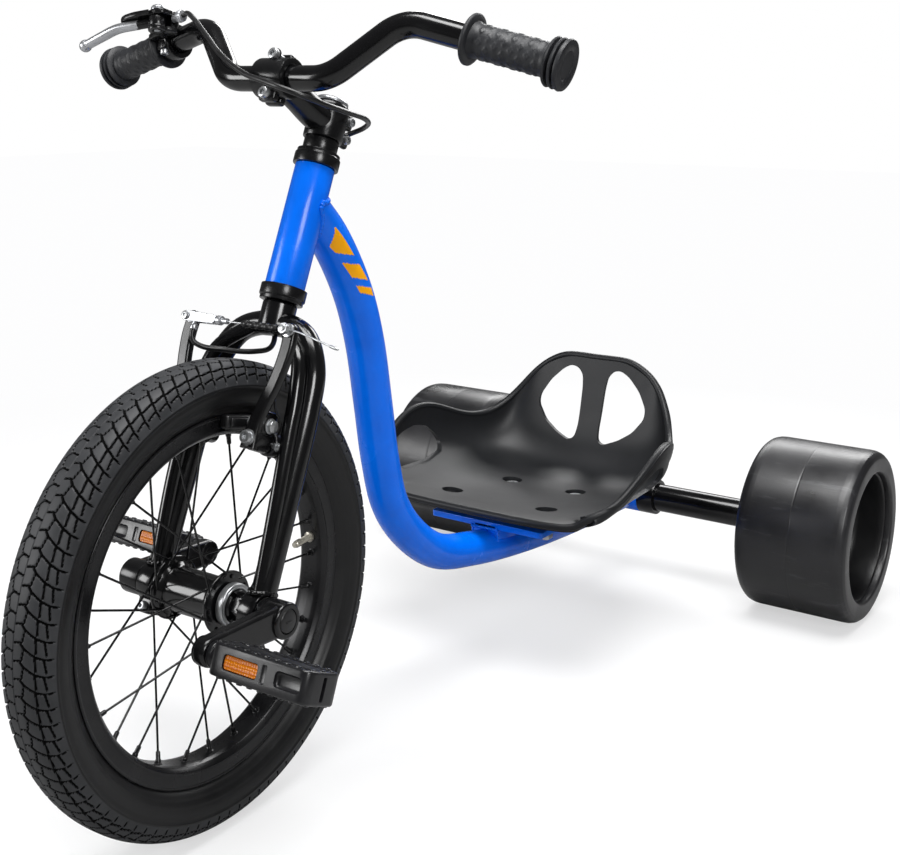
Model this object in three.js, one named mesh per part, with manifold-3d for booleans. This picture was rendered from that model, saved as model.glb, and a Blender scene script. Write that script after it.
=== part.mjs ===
// Drift trike: a pedal-driven spoked front wheel with a rim brake, a low moulded bucket seat
// on one bent tube, and two wide hard rear wheels that slide.
// Millimetres, +Z up, front towards -Y, the rider's left towards +X.
// The origin lies on the ground under the middle of the trike.
import * as THREE from "three";
import { mergeVertices } from "three/addons/utils/BufferGeometryUtils.js";
import Module from "manifold-3d";

// Driving dimensions
const wheelbase = 800;
const frontWheelDiameter = 410;
const rearWheelDiameter = 208;
const rearWheelWidth = 132;
const rearTrack = 508;
const headAngleDegrees = 67;
const crankLength = 85;
const crankLeanDegrees = 0.8;
const pedalTiltDegrees = 22;
const gap = 0.3;
const overrun = 3;

const frontRadius = frontWheelDiameter / 2;
const rearRadius = rearWheelDiameter / 2;
const frontAxleY = (frontRadius - rearRadius - wheelbase) / 2;
const rearAxleY = frontAxleY + wheelbase;
const steererLean = Math.PI / 2 - THREE.MathUtils.degToRad(headAngleDegrees);
const fullTurn = 2 * Math.PI;
const quarterTurn = Math.PI / 2;

const wasm = await Module();
wasm.setup();

// Materials
const finish = (color, roughness, metalness) => new THREE.MeshStandardMaterial({ color, roughness, metalness });
const bluePaint = finish(0x0f5fe0, 0.25, 0.1);
const blackPaint = finish(0x111112, 0.25, 0.3);
const blackPlastic = finish(0x2a2b2d, 0.55, 0);
const wheelPlastic = finish(0x1b1b1c, 0.5, 0);
const rubber = finish(0x19191a, 0.8, 0);
const gripRubber = finish(0x2e3035, 0.75, 0);
const blackAlloy = finish(0x1c1c1e, 0.35, 0.6);
const brightAlloy = finish(0xc9cbcd, 0.3, 0.95);
const zincSteel = finish(0xd8d9da, 0.25, 1);
const bearingSteel = finish(0x9b9da0, 0.3, 1);
const valveBrass = finish(0xb8a678, 0.35, 0.9);
const amberPlastic = finish(0xf29a12, 0.3, 0);

// A closed geometry as a solid, turned outside out where its faces point inwards.
function solidOf(geometry) {
  const bare = geometry.clone();
  for (const name of Object.keys(bare.attributes)) {
    if (name !== "position") bare.deleteAttribute(name);
  }
  const merged = mergeVertices(bare, 1e-4);
  const faces = [];
  const index = merged.index.array;
  for (let i = 0; i < index.length; i += 3) {
    const [a, b, c] = [index[i], index[i + 1], index[i + 2]];
    if (a !== b && b !== c && c !== a) faces.push(a, b, c);
  }
  const vertProperties = merged.attributes.position.array;
  const made = new wasm.Manifold(new wasm.Mesh({ numProp: 3, vertProperties, triVerts: new Uint32Array(faces) }));
  if (made.volume() > 0) return made;
  for (let i = 0; i < faces.length; i += 3) {
    [faces[i], faces[i + 1]] = [faces[i + 1], faces[i]];
  }
  return new wasm.Manifold(new wasm.Mesh({ numProp: 3, vertProperties, triVerts: new Uint32Array(faces) }));
}

function geometryOf(solid) {
  const mesh = solid.getMesh();
  const geometry = new THREE.BufferGeometry();
  geometry.setAttribute("position", new THREE.BufferAttribute(new Float32Array(mesh.vertProperties), 3));
  geometry.setIndex(new THREE.BufferAttribute(new Uint32Array(mesh.triVerts), 1));
  return geometry;
}

function join(...pieces) {
  return geometryOf(pieces.map(solidOf).reduce((sum, piece) => sum.add(piece)));
}

function cut(body, ...cutters) {
  return geometryOf(cutters.map(solidOf).reduce((rest, cutter) => rest.subtract(cutter), solidOf(body)));
}

// A solid of revolution about X from [x, radius] pairs, with a whole facet turned down.
function turnedAboutX(profile, sides) {
  const half = Math.PI / sides;
  const geometry = new THREE.LatheGeometry(profile.map(([x, r]) => new THREE.Vector2(r, x)), sides, half, fullTurn);
  return geometry.rotateZ(-quarterTurn);
}

// The radius of a many-sided wheel's corners whose flats touch the floor.
function cornerRadius(radius, sides) {
  return radius / Math.cos(Math.PI / sides);
}

// A solid of revolution about Z from [radius, z] pairs.
function turned(profile, sides) {
  const geometry = new THREE.LatheGeometry(profile.map(([r, z]) => new THREE.Vector2(r, z)), sides);
  return geometry.rotateX(quarterTurn);
}

// A round bar from one point to another.
function bar(from, to, radius, sides, endRadius = radius) {
  const along = to.clone().sub(from);
  const geometry = new THREE.CylinderGeometry(endRadius, radius, along.length(), sides);
  const turn = new THREE.Quaternion().setFromUnitVectors(new THREE.Vector3(0, 1, 0), along.clone().normalize());
  geometry.applyQuaternion(turn);
  const middle = from.clone().add(to).multiplyScalar(0.5);
  return geometry.translate(middle.x, middle.y, middle.z);
}

function barAlongX(x0, x1, y, z, radius, sides) {
  return bar(new THREE.Vector3(x0, y, z), new THREE.Vector3(x1, y, z), radius, sides);
}

// A piece made along +Z from the origin, moved to start at a point and run another way.
function aimed(geometry, from, way) {
  const turn = new THREE.Quaternion().setFromUnitVectors(new THREE.Vector3(0, 0, 1), way);
  return geometry.applyQuaternion(turn).translate(from.x, from.y, from.z);
}

function block(width, depth, height, x, y, z) {
  return new THREE.BoxGeometry(width, depth, height).translate(x, y, z);
}

// A round bar through the given points: each ring lies in the plane that halves the bend there.
function tube(points, radius, sides) {
  const steps = points.slice(1).map((point, i) => point.clone().sub(points[i]).normalize());
  const normal = Math.abs(steps[0].z) < 0.9 ? new THREE.Vector3(0, 0, 1) : new THREE.Vector3(0, 1, 0);
  const vertices = [];
  const faces = [];
  points.forEach((point, i) => {
    const before = steps[Math.max(i - 1, 0)];
    const after = steps[Math.min(i, steps.length - 1)];
    const tangent = before.clone().add(after).normalize();
    normal.addScaledVector(tangent, -normal.dot(tangent)).normalize();
    const binormal = tangent.clone().cross(normal);
    for (let k = 0; k < sides; k++) {
      const angle = (k * fullTurn) / sides;
      const spot = point.clone().addScaledVector(normal, radius * Math.cos(angle));
      spot.addScaledVector(binormal, radius * Math.sin(angle));
      vertices.push(spot);
    }
  });
  for (let i = 0; i < points.length - 1; i++) {
    for (let k = 0; k < sides; k++) {
      const [here, next] = [i * sides + k, i * sides + ((k + 1) % sides)];
      faces.push(here, next, next + sides, here, next + sides, here + sides);
    }
  }
  const last = (points.length - 1) * sides;
  for (let k = 1; k < sides - 1; k++) {
    faces.push(0, k + 1, k, last, last + k, last + k + 1);
  }
  const geometry = new THREE.BufferGeometry().setFromPoints(vertices);
  return geometry.setIndex(faces);
}

// The centreline of a bent tube: straight runs with an arc of one radius at each corner.
function bent(corners, radius, steps) {
  const points = [corners[0]];
  for (let i = 1; i < corners.length - 1; i++) {
    const before = corners[i - 1].clone().sub(corners[i]).normalize();
    const after = corners[i + 1].clone().sub(corners[i]).normalize();
    const half = before.angleTo(after) / 2;
    const setback = radius / Math.tan(half);
    const middle = before.clone().add(after).normalize();
    const centre = corners[i].clone().addScaledVector(middle, radius / Math.sin(half));
    const start = corners[i].clone().addScaledVector(before, setback).sub(centre);
    const end = corners[i].clone().addScaledVector(after, setback).sub(centre);
    const sweep = start.angleTo(end);
    for (let k = 0; k <= steps; k++) {
      const share = k / steps;
      const spot = centre.clone().addScaledVector(start, Math.sin((1 - share) * sweep) / Math.sin(sweep));
      points.push(spot.addScaledVector(end, Math.sin(share * sweep) / Math.sin(sweep)));
    }
  }
  return [...points, corners[corners.length - 1]];
}

function vectors(rows) {
  return rows.map((row) => new THREE.Vector3(...row));
}

// Points along a smooth curve through the rows given.
function flowing(rows, count) {
  return new THREE.CatmullRomCurve3(vectors(rows), false, "centripetal").getSpacedPoints(count);
}

// A flat outline raised along Z, centred on its own plane.
function plate(shape, thickness, curveSegments) {
  const geometry = new THREE.ExtrudeGeometry(shape, { depth: thickness, bevelEnabled: false, curveSegments });
  return geometry.translate(0, 0, -thickness / 2);
}

function outlineOf(rows) {
  return new THREE.Shape(rows.map(([x, y]) => new THREE.Vector2(x, y)));
}

// A rounded rectangle about the origin.
function roundedRectangle(width, height, corner) {
  const [x, y] = [width / 2 - corner, height / 2 - corner];
  const shape = new THREE.Shape();
  shape.absarc(x, y, corner, 0, quarterTurn, false);
  shape.absarc(-x, y, corner, quarterTurn, 2 * quarterTurn, false);
  shape.absarc(-x, -y, corner, 2 * quarterTurn, 3 * quarterTurn, false);
  shape.absarc(x, -y, corner, 3 * quarterTurn, fullTurn, false);
  shape.closePath();
  return shape;
}

// Two circles on the X axis wrapped by their common tangents: the outline of an arm.
function armOutline(length, bigRadius, smallRadius) {
  const tilt = Math.acos((bigRadius - smallRadius) / length);
  const shape = new THREE.Shape();
  shape.absarc(0, 0, bigRadius, tilt, fullTurn - tilt, false);
  shape.absarc(length, 0, smallRadius, -tilt, tilt, false);
  shape.closePath();
  return shape;
}

const trike = new THREE.Group();
trike.name = "drift_trike";

function place(name, geometry, material, parent) {
  const mesh = new THREE.Mesh(geometryOf(solidOf(geometry)), material);
  mesh.name = name;
  parent.add(mesh);
  return mesh;
}

const sides = [
  { name: "left", sign: 1 },
  { name: "right", sign: -1 },
];

// The front wheel's parts lie about the front axle; the steered parts about the axle too, with Z up the steerer.
const frontAxle = new THREE.Group();
frontAxle.position.set(0, frontAxleY, frontRadius);
trike.add(frontAxle);
const steered = new THREE.Group();
steered.rotation.x = -steererLean;
frontAxle.add(steered);

// Front wheel
const wheelFacets = 44;
const tyre = { halfWidth: 26, shoulderHalf: 18.5, crownHalf: 6, crownDrop: 4.5, shoulderDrop: 18, bead: 4, carcass: 6 };
const rim = {
  beadRadius: 153, flangeRise: 6.4, flangeHalf: 13.4, wall: 2.2, wellDepth: 5.5, wellHalf: 7, depth: 11.7, innerStep: 4.7,
};
const rimWellRadius = rim.beadRadius - rim.wellDepth;
const rimInnerRadius = rim.beadRadius - rim.depth;
const spokeCount = 28;
const spokeCrossings = 2;
const spoke = {
  radius: 1, holeRadius: 2.7, nippleRadius: 2, nippleLength: 9, headLift: 1.6, headRadius: 3.4, headHeight: 1.6,
};
const hub = {
  leftFlange: 24, rightFlange: -38, flangeRadius: 28, flangeHalf: 1.7, holeCircle: 23.5,
  barrel: 20, barrelLeft: 16, barrelRight: -30, neck: 14, end: 2,
};
const spindle = { radius: 7.5, halfLength: 86, collar: 12.5 };
const valve = { holeRadius: 4.4, radius: 3.9, length: 30, foot: 7, footHeight: 2, capRadius: 4.6, capLength: 9 };
const valveAngle = THREE.MathUtils.degToRad(6.43);

function tyreGeometry() {
  const top = cornerRadius(frontRadius, wheelFacets);
  const beadFoot = rim.beadRadius + gap;
  const beadOut = rim.flangeHalf - gap;
  const aboveFlange = rim.beadRadius + rim.flangeRise + gap;
  const outer = [
    [tyre.crownHalf, top],
    [tyre.shoulderHalf, top - tyre.crownDrop],
    [tyre.halfWidth, top - tyre.shoulderDrop],
    [beadOut, aboveFlange],
    [beadOut, beadFoot],
  ];
  const inner = [
    [beadOut - tyre.bead, beadFoot],
    [tyre.halfWidth - tyre.carcass, top - tyre.shoulderDrop - tyre.carcass],
    [tyre.crownHalf, top - tyre.carcass],
  ];
  const half = [...outer, ...inner];
  const mirrored = half.map(([x, r]) => [-x, r]).reverse();
  const profile = [...half, ...mirrored];
  return turnedAboutX([...profile, profile[0]], wheelFacets);
}

function aroundWheel(count, offset, make) {
  return Array.from({ length: count }, (_, i) => make(((i + offset) * fullTurn) / count, i));
}

function radial(angle, radius, x) {
  return new THREE.Vector3(x, radius * Math.cos(angle), radius * Math.sin(angle));
}

function rimGeometry() {
  const flangeTop = rim.beadRadius + rim.flangeRise;
  const out = rim.flangeHalf + rim.wall;
  const half = [
    [out, flangeTop],
    [rim.flangeHalf, flangeTop],
    [rim.flangeHalf, rim.beadRadius],
    [rim.wellHalf, rimWellRadius],
  ];
  const mirrored = half.map(([x, r]) => [-x, r]).reverse();
  const floor = [
    [-out, rimInnerRadius + rim.innerStep],
    [-out + rim.innerStep, rimInnerRadius],
    [out - rim.innerStep, rimInnerRadius],
    [out, rimInnerRadius + rim.innerStep],
  ];
  const profile = [...half, ...mirrored, ...floor];
  const ring = turnedAboutX([...profile, profile[0]], wheelFacets);
  const holes = aroundWheel(spokeCount, 0, (angle, i) => {
    const { foot, length, way } = spokeLine(angle, i);
    const from = foot.clone().addScaledVector(way, length - overrun);
    const to = foot.clone().addScaledVector(way, length + rimWellRadius - rimInnerRadius + overrun);
    return bar(from, to, spoke.holeRadius, 5);
  });
  const valveFoot = radial(valveAngle, rimInnerRadius - overrun, 0);
  const valveHole = bar(valveFoot, radial(valveAngle, rimWellRadius + overrun, 0), valve.holeRadius, 10);
  return cut(ring, ...holes, valveHole);
}

// Where spoke i starts on its flange and the way it runs to its hole in the rim.
function spokeLine(angle, i) {
  const flange = i % 2 ? hub.rightFlange : hub.leftFlange;
  const lead = i % 4 < 2 ? 1 : -1;
  const cross = (lead * spokeCrossings * 2 * fullTurn) / spokeCount;
  const foot = radial(angle + cross, hub.holeCircle, flange + lead * (hub.flangeHalf - spoke.radius / 2));
  const hole = radial(angle, rimInnerRadius, 0);
  const length = foot.distanceTo(hole);
  return { foot, length, way: hole.sub(foot).normalize() };
}

// One spoke with its nipple: it leaves the flange at a tangent and ends in the rim's well.
function spokeGeometry(angle, i) {
  const { foot, length, way } = spokeLine(angle, i);
  const neck = length - spoke.nippleLength;
  const top = length + rimWellRadius - rimInnerRadius + spoke.headLift;
  const profile = [
    [0, 0],
    [spoke.radius, 0],
    [spoke.radius, neck],
    [spoke.nippleRadius, neck],
    [spoke.nippleRadius, top],
    [spoke.headRadius, top],
    [spoke.headRadius, top + spoke.headHeight],
    [0, top + spoke.headHeight],
  ];
  return aimed(turned(profile, 4), foot, way);
}

function hubGeometry() {
  const bore = spindle.radius + gap;
  const left = hub.leftFlange + hub.flangeHalf;
  const right = hub.rightFlange - hub.flangeHalf;
  const profile = [
    [right - hub.end, bore],
    [right - hub.end, hub.neck],
    [right, hub.neck],
    [right, hub.flangeRadius],
    [hub.rightFlange + hub.flangeHalf, hub.flangeRadius],
    [hub.barrelRight, hub.barrel],
    [hub.barrelLeft, hub.barrel],
    [hub.leftFlange - hub.flangeHalf, hub.flangeRadius],
    [left, hub.flangeRadius],
    [left, hub.neck],
    [left + hub.end, hub.neck],
    [left + hub.end, bore],
  ];
  const shell = turnedAboutX([...profile, profile[0]], 20);
  return join(shell, ...aroundWheel(spokeCount, 0, spokeGeometry).flat());
}

function valveGeometry() {
  const bed = rimWellRadius + gap;
  const tip = bed - valve.length;
  const body = bar(radial(valveAngle, tip, 0), radial(valveAngle, bed + valve.footHeight / 2, 0), valve.radius, 10);
  const foot = bar(radial(valveAngle, bed, 0), radial(valveAngle, bed + valve.footHeight, 0), valve.foot, 10);
  const cap = bar(radial(valveAngle, tip, 0), radial(valveAngle, tip + valve.capLength, 0), valve.capRadius, 8);
  return join(body, foot, cap);
}

const freewheel = { outer: 19, notchWidth: 5, notchDepth: 4, thickness: 10.5, bevel: 2 };

function freewheelGeometry() {
  const start = hub.leftFlange + hub.flangeHalf + hub.end + gap;
  const end = start + freewheel.thickness;
  const profile = [
    [start, spindle.radius + gap],
    [start, freewheel.outer],
    [end - freewheel.bevel, freewheel.outer],
    [end, freewheel.outer - freewheel.bevel],
    [end, spindle.radius + gap],
  ];
  const ring = turnedAboutX([...profile, profile[0]], 24);
  const length = 2 * (freewheel.outer + overrun);
  const notches = [0, 1].map((i) =>
    block(2 * freewheel.notchDepth, length, freewheel.notchWidth, end, 0, 0).rotateX(i * quarterTurn));
  return cut(ring, ...notches);
}

place("front_tyre", tyreGeometry(), rubber, frontAxle);
place("front_rim", rimGeometry(), blackAlloy, frontAxle);
place("front_hub_and_spokes", hubGeometry(), blackPaint, frontAxle);
place("tyre_valve", valveGeometry(), valveBrass, frontAxle);
place("freewheel_ring", freewheelGeometry(), zincSteel, frontAxle);

// Crank bearings and their holders at the fork's feet
const holder = { inner: 51, outer: 67, radius: 18, bore: 14.3, lugHalf: 9, lugDrop: 10, slot: 2 };
const bearing = { outer: 14, width: 12 };

function bearingGeometry(sign) {
  const middle = (holder.inner + holder.outer) / 2;
  const profile = [
    [middle - bearing.width / 2, spindle.radius + gap],
    [middle - bearing.width / 2, bearing.outer],
    [middle + bearing.width / 2, bearing.outer],
    [middle + bearing.width / 2, spindle.radius + gap],
  ].map(([x, r]) => [sign * x, r]);
  return turnedAboutX([...profile, profile[0]], 20);
}

for (const side of sides) {
  place(side.name + "_crank_bearing", bearingGeometry(side.sign), bearingSteel, frontAxle);
}

// Spindle, cranks and pedals
const crank = { boss: 15.5, inner: 70, outer: 92, armInner: 76, armThick: 13, armRoot: 14, eye: 12, edge: 2.5 };
const pedal = {
  length: 107, width: 41, height: 25, corner: 9, wall: 6, axleRadius: 5, bossRadius: 12, bossLength: 12, tube: 8.3,
};
const pedalWindow = { length: 24, height: 12, depth: 4 };
const reflector = { inset: 15, length: 33, height: 11, thickness: 3, corner: 3, recess: 1.2 };
const endSlot = { depth: 5, width: 4, height: 18 };

function spindleGeometry() {
  const rod = barAlongX(-spindle.halfLength, spindle.halfLength, 0, 0, spindle.radius, 16);
  const ringEnd = hub.leftFlange + hub.flangeHalf + hub.end + freewheel.thickness + 2 * gap;
  const hex = barAlongX(ringEnd, holder.inner - gap, 0, 0, spindle.collar, 6);
  const hubEnd = hub.rightFlange - hub.flangeHalf - hub.end - gap;
  const washer = barAlongX(-holder.inner + gap, hubEnd, 0, 0, spindle.collar, 16);
  return join(rod, hex, washer);
}

// A crank lies along +Y from the spindle and is turned to its place.
function crankGeometry() {
  const arm = plate(armOutline(crankLength, crank.armRoot, crank.eye), crank.armThick, 7);
  arm.rotateZ(quarterTurn).rotateY(quarterTurn).translate(crank.armInner + crank.armThick / 2, 0, 0);
  const bossProfile = [
    [crank.inner, 0],
    [crank.inner, crank.boss],
    [crank.outer - crank.edge, crank.boss],
    [crank.outer, crank.boss - crank.edge],
    [crank.outer, 0],
  ];
  const boss = turnedAboutX(bossProfile, 20);
  const bore = barAlongX(crank.inner - overrun, spindle.halfLength + gap, 0, 0, spindle.radius + gap, 16);
  const armOuter = crank.armInner + crank.armThick;
  const eyeRadius = pedal.axleRadius + gap;
  const eyeBore = barAlongX(crank.armInner - overrun, armOuter + overrun, crankLength, 0, eyeRadius, 12);
  return cut(join(arm, boss), bore, eyeBore);
}

const crankset = new THREE.Group();
crankset.rotation.x = THREE.MathUtils.degToRad(-crankLeanDegrees);
frontAxle.add(crankset);
place("crank_spindle", spindleGeometry(), bearingSteel, crankset);

const pedalInner = crank.armInner + crank.armThick + 2 * gap;

function pedalAxleGeometry() {
  const start = crank.armInner + gap;
  const rod = barAlongX(start, pedalInner + pedal.length - pedal.wall, 0, 0, pedal.axleRadius, 12);
  const collar = barAlongX(pedalInner - gap, pedalInner + gap, 0, 0, pedal.axleRadius + 2 * gap, 12);
  return join(rod, collar);
}

// The pedal's cage: a rounded frame round the axle's tube, with a reflector pocket and a window in each tread face.
function pedalGeometry() {
  const cageStart = pedalInner + pedal.bossLength;
  const cageEnd = pedalInner + pedal.length;
  const cageLength = cageEnd - cageStart;
  const middle = (cageStart + cageEnd) / 2;
  const outline = roundedRectangle(cageLength, pedal.width, pedal.corner);
  const cage = plate(outline, pedal.height, 3).translate(middle, 0, 0);
  const tubeHalf = pedal.tube + gap;
  const wellDepth = pedal.width / 2 - pedal.wall - tubeHalf;
  const wellLength = cageLength - 2 * pedal.wall;
  const wellHeight = pedal.height + 2 * overrun;
  const wells = sides.map(({ sign }) =>
    block(wellLength, wellDepth, wellHeight, middle, sign * (tubeHalf + wellDepth / 2), 0));
  const pocketLength = reflector.length + 2 * gap;
  const pocketDepth = 2 * (reflector.recess + reflector.thickness + gap);
  const pocketX = cageStart + reflector.inset + reflector.length / 2;
  const windowX = cageEnd - pedal.wall - pedalWindow.length / 2;
  const pockets = sides.flatMap(({ sign }) => [
    block(pocketLength, pocketDepth, reflector.height + 2 * gap, pocketX, (sign * pedal.width) / 2, 0),
    block(pedalWindow.length, 2 * pedalWindow.depth, pedalWindow.height, windowX, (sign * pedal.width) / 2, 0),
  ]);
  const boss = barAlongX(pedalInner + gap, cageStart + pedal.wall, 0, 0, pedal.bossRadius, 16);
  const bore = barAlongX(pedalInner - overrun, cageEnd - pedal.wall + gap, 0, 0, pedal.axleRadius + gap, 12);
  const slot = block(2 * endSlot.depth, endSlot.width, endSlot.height, cageEnd, 0, 0);
  return cut(join(cut(cage, ...wells, ...pockets), boss), bore, slot);
}

function reflectorGeometry(s) {
  const x = pedalInner + pedal.bossLength + reflector.inset + reflector.length / 2;
  const face = plate(roundedRectangle(reflector.length, reflector.height, reflector.corner), reflector.thickness, 2);
  const y = pedal.width / 2 - reflector.recess - reflector.thickness / 2;
  return face.rotateX(quarterTurn).translate(x, s * y, 0);
}

for (const side of sides) {
  const arm = new THREE.Group();
  arm.rotation.x = side.sign > 0 ? Math.PI : 0;
  crankset.add(arm);
  const mirror = new THREE.Group();
  mirror.scale.x = side.sign;
  arm.add(mirror);
  place(side.name + "_crank", crankGeometry(), blackAlloy, mirror);
  const eye = new THREE.Group();
  eye.position.y = crankLength;
  eye.rotation.x = -arm.rotation.x - crankset.rotation.x - THREE.MathUtils.degToRad(pedalTiltDegrees);
  mirror.add(eye);
  place(side.name + "_pedal_axle", pedalAxleGeometry(), bearingSteel, eye);
  place(side.name + "_pedal", pedalGeometry(), blackPlastic, eye);
  place(side.name + "_pedal_front_reflector", reflectorGeometry(-1), amberPlastic, eye);
  place(side.name + "_pedal_rear_reflector", reflectorGeometry(1), amberPlastic, eye);
}

// Fork and headset, about the steerer: +Z up the steerer, -Y forward, the front axle at the origin
const steerer = { radius: 12.7, top: 446, raceRadius: 15.5, raceBottom: 237, raceTop: 262 };
const headTube = { bottom: 276, top: 388, radius: 18, bore: 15.1 };
const cup = { radius: 20.8, skirtRadius: 14.8, skirtLength: 10, bore: 13.3 };
const upperCupTop = 402;
const spacerTop = 414;
const spacerRadius = 15.8;
const legSpread = 60;
const crownHeight = 242;
const crownFlat = 14;
const legRadius = 11;
const legRun = [[59.5, 0, 95], [58, 0, 170], [53.5, 0, 207], [37, 0, 233]];
const stayRadius = 6.5;
const stayRun = [[60, -5, 16], [60, -13, 95], [57.5, -16, 150], [55, -16, 180], [46, -14, 213], [20, -7, 237]];
const legFoot = 16;
const pivot = { x: 42, belowBead: 16, bossRadius: 8, bossFront: 22.5, bossBack: 4, studRadius: 4.5, studFront: 44 };
const pivotHeight = rim.beadRadius - pivot.belowBead;
const pivotWeb = { half: 6, front: 11 };

function legGeometry(sign) {
  const foot = [sign * legSpread, 0, legFoot];
  const crown = [[sign * crownFlat, 0, crownHeight], [-sign * crownFlat, 0, crownHeight]];
  const leg = tube(flowing([foot, ...mirrored(legRun, sign), ...crown], 9), legRadius, 10);
  return [leg, tube(flowing(mirrored(stayRun, sign), 6), stayRadius, 7)];
}

function mirrored(rows, sign) {
  return rows.map(([x, y, z]) => [sign * x, y, z]);
}

// A bar that runs along the brake's studs, forward from one depth to another.
function barForward(x, z, back, front, radius, facets) {
  return bar(new THREE.Vector3(x, -back, z), new THREE.Vector3(x, -front, z), radius, facets);
}

// One foot's bearing holder with its pinch lug, and the boss and stud that carry a brake arm.
function footPieces(sign) {
  const x = sign * pivot.x;
  const width = holder.outer - holder.inner;
  const lugHeight = holder.radius + holder.lugDrop - holder.bore;
  const middle = (sign * (holder.outer + holder.inner)) / 2;
  const webMiddle = (sign * (legSpread + pivot.x)) / 2;
  return [
    barAlongX(sign * holder.inner, sign * holder.outer, 0, 0, holder.radius, 16),
    block(width, 2 * holder.lugHalf, lugHeight, middle, 0, -holder.bore - lugHeight / 2),
    barForward(x, pivotHeight, -pivot.bossBack, pivot.bossFront, pivot.bossRadius, 10),
    barForward(x, pivotHeight, 0, pivot.studFront, pivot.studRadius, 10),
    block(legSpread - pivot.x, pivotWeb.front, 2 * pivotWeb.half, webMiddle, -pivotWeb.front / 2, pivotHeight),
  ];
}

function footBores(sign) {
  const width = holder.outer - holder.inner + 2 * overrun;
  const middle = (sign * (holder.outer + holder.inner)) / 2;
  const slotHeight = holder.radius + holder.lugDrop + overrun;
  return [
    barAlongX(sign * (holder.inner - overrun), sign * (holder.outer + overrun), 0, 0, holder.bore, 16),
    block(width, holder.slot, slotHeight, middle, 0, -slotHeight / 2),
  ];
}

function forkGeometry() {
  const race = turned([
    [0, steerer.raceBottom],
    [steerer.raceRadius, steerer.raceBottom],
    [steerer.raceRadius, steerer.raceTop - gap],
    [steerer.radius, steerer.raceTop - gap],
    [steerer.radius, steerer.top],
    [0, steerer.top],
  ], 20);
  const pieces = sides.flatMap(({ sign }) => [...legGeometry(sign), ...footPieces(sign)]);
  return cut(join(race, ...pieces), ...sides.flatMap(({ sign }) => footBores(sign)));
}

function cupGeometry(flat, rimEnd, skirtEnd) {
  const profile = [
    [cup.bore, rimEnd],
    [cup.radius, rimEnd],
    [cup.radius, flat],
    [cup.skirtRadius, flat],
    [cup.skirtRadius, skirtEnd],
    [cup.bore, skirtEnd],
  ];
  return turned([...profile, profile[0]], 16);
}

// Head parts that stay with the frame stand on the same line as the steerer.
const head = new THREE.Group();
head.rotation.x = -steererLean;
frontAxle.add(head);
const lowerCup = cupGeometry(headTube.bottom - gap, steerer.raceTop, headTube.bottom + cup.skirtLength);
const upperCup = cupGeometry(headTube.top + gap, upperCupTop, headTube.top - cup.skirtLength);
place("lower_headset_cup", lowerCup, blackAlloy, head);
place("upper_headset_cup", upperCup, blackAlloy, head);
place("fork", forkGeometry(), blackPaint, steered);

function spacerGeometry() {
  const profile = [
    [steerer.radius + gap, upperCupTop + gap],
    [spacerRadius, upperCupTop + gap],
    [spacerRadius, spacerTop - gap],
    [steerer.radius + gap, spacerTop - gap],
  ];
  return turned([...profile, profile[0]], 20);
}

place("headset_spacer", spacerGeometry(), blackAlloy, steered);

// Stem and handlebar
const handlebarRadius = 11.1;
const barClamp = { y: -76.7, z: 440.4, radius: 17.5, half: 17, split: 1, lugHalf: 9, lugThick: 8, lugHeight: 23 };
const stemClamp = { bottom: 414, top: 448, radius: 18, slot: 2, lugBack: 27, lugHalf: 8 };
const stemNeck = { root: 14, end: 12.5 };
const stemCap = { radius: 15.5, thickness: 4.5, edge: 1.5, boltRadius: 4.5, boltHeight: 3 };
const handlebarRise = [[55.4, barClamp.y, barClamp.z], [109.6, -64.1, 496.6], [248.2, -35.2, 469.6]];
const handlebarBend = 36;
const grip = {
  start: 169.5, wall: 2.6, flangeRadius: 21, flangeThick: 3,
  ringRadius: 20, ringThick: 2.2, ringStep: 5.5, endRadius: 21, endThick: 3.5, overhang: 5,
};
const gripRings = 2;

function stemGeometry() {
  const clamp = turned([
    [0, stemClamp.bottom],
    [stemClamp.radius, stemClamp.bottom],
    [stemClamp.radius, stemClamp.top],
    [0, stemClamp.top],
  ], 20);
  const middle = (stemClamp.bottom + stemClamp.top) / 2;
  const height = stemClamp.top - stemClamp.bottom;
  const lug = block(2 * stemClamp.lugHalf, stemClamp.lugBack, height, 0, stemClamp.lugBack / 2, middle);
  const neckFoot = new THREE.Vector3(0, -stemClamp.radius / 2, middle);
  const neck = bar(neckFoot, new THREE.Vector3(0, barClamp.y, barClamp.z), stemNeck.root, 14, stemNeck.end);
  const steererFoot = new THREE.Vector3(0, 0, stemClamp.bottom - overrun);
  const steererHead = new THREE.Vector3(0, 0, stemClamp.top + overrun);
  const steererBore = bar(steererFoot, steererHead, steerer.radius + gap, 20);
  const slotDepth = stemClamp.lugBack + overrun;
  const slot = block(stemClamp.slot, slotDepth, height + 2 * overrun, 0, slotDepth / 2, middle);
  return cut(join(clamp, lug, neck, ...clampHalf(1)), clampBeyond(-1), steererBore, slot, clampBore());
}

// One half of the handlebar's clamp, behind (1) or before (-1) the split.
function clampHalf(way) {
  const seat = barAlongX(-barClamp.half, barClamp.half, barClamp.y, barClamp.z, barClamp.radius, 20);
  const lugY = barClamp.y + (way * barClamp.lugThick) / 2;
  return [seat, block(2 * barClamp.lugHalf, barClamp.lugThick, 2 * barClamp.lugHeight, 0, lugY, barClamp.z)];
}

function clampBeyond(way) {
  const y = barClamp.y + way * (barClamp.radius - barClamp.split);
  return block(2 * barClamp.half + overrun, 2 * barClamp.radius, 2 * barClamp.lugHeight + overrun, 0, y, barClamp.z);
}

function clampBore() {
  const reach = barClamp.half + overrun;
  return barAlongX(-reach, reach, barClamp.y, barClamp.z, handlebarRadius + gap, 16);
}

function faceplateGeometry() {
  return cut(join(...clampHalf(-1)), clampBeyond(1), clampBore());
}

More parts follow.
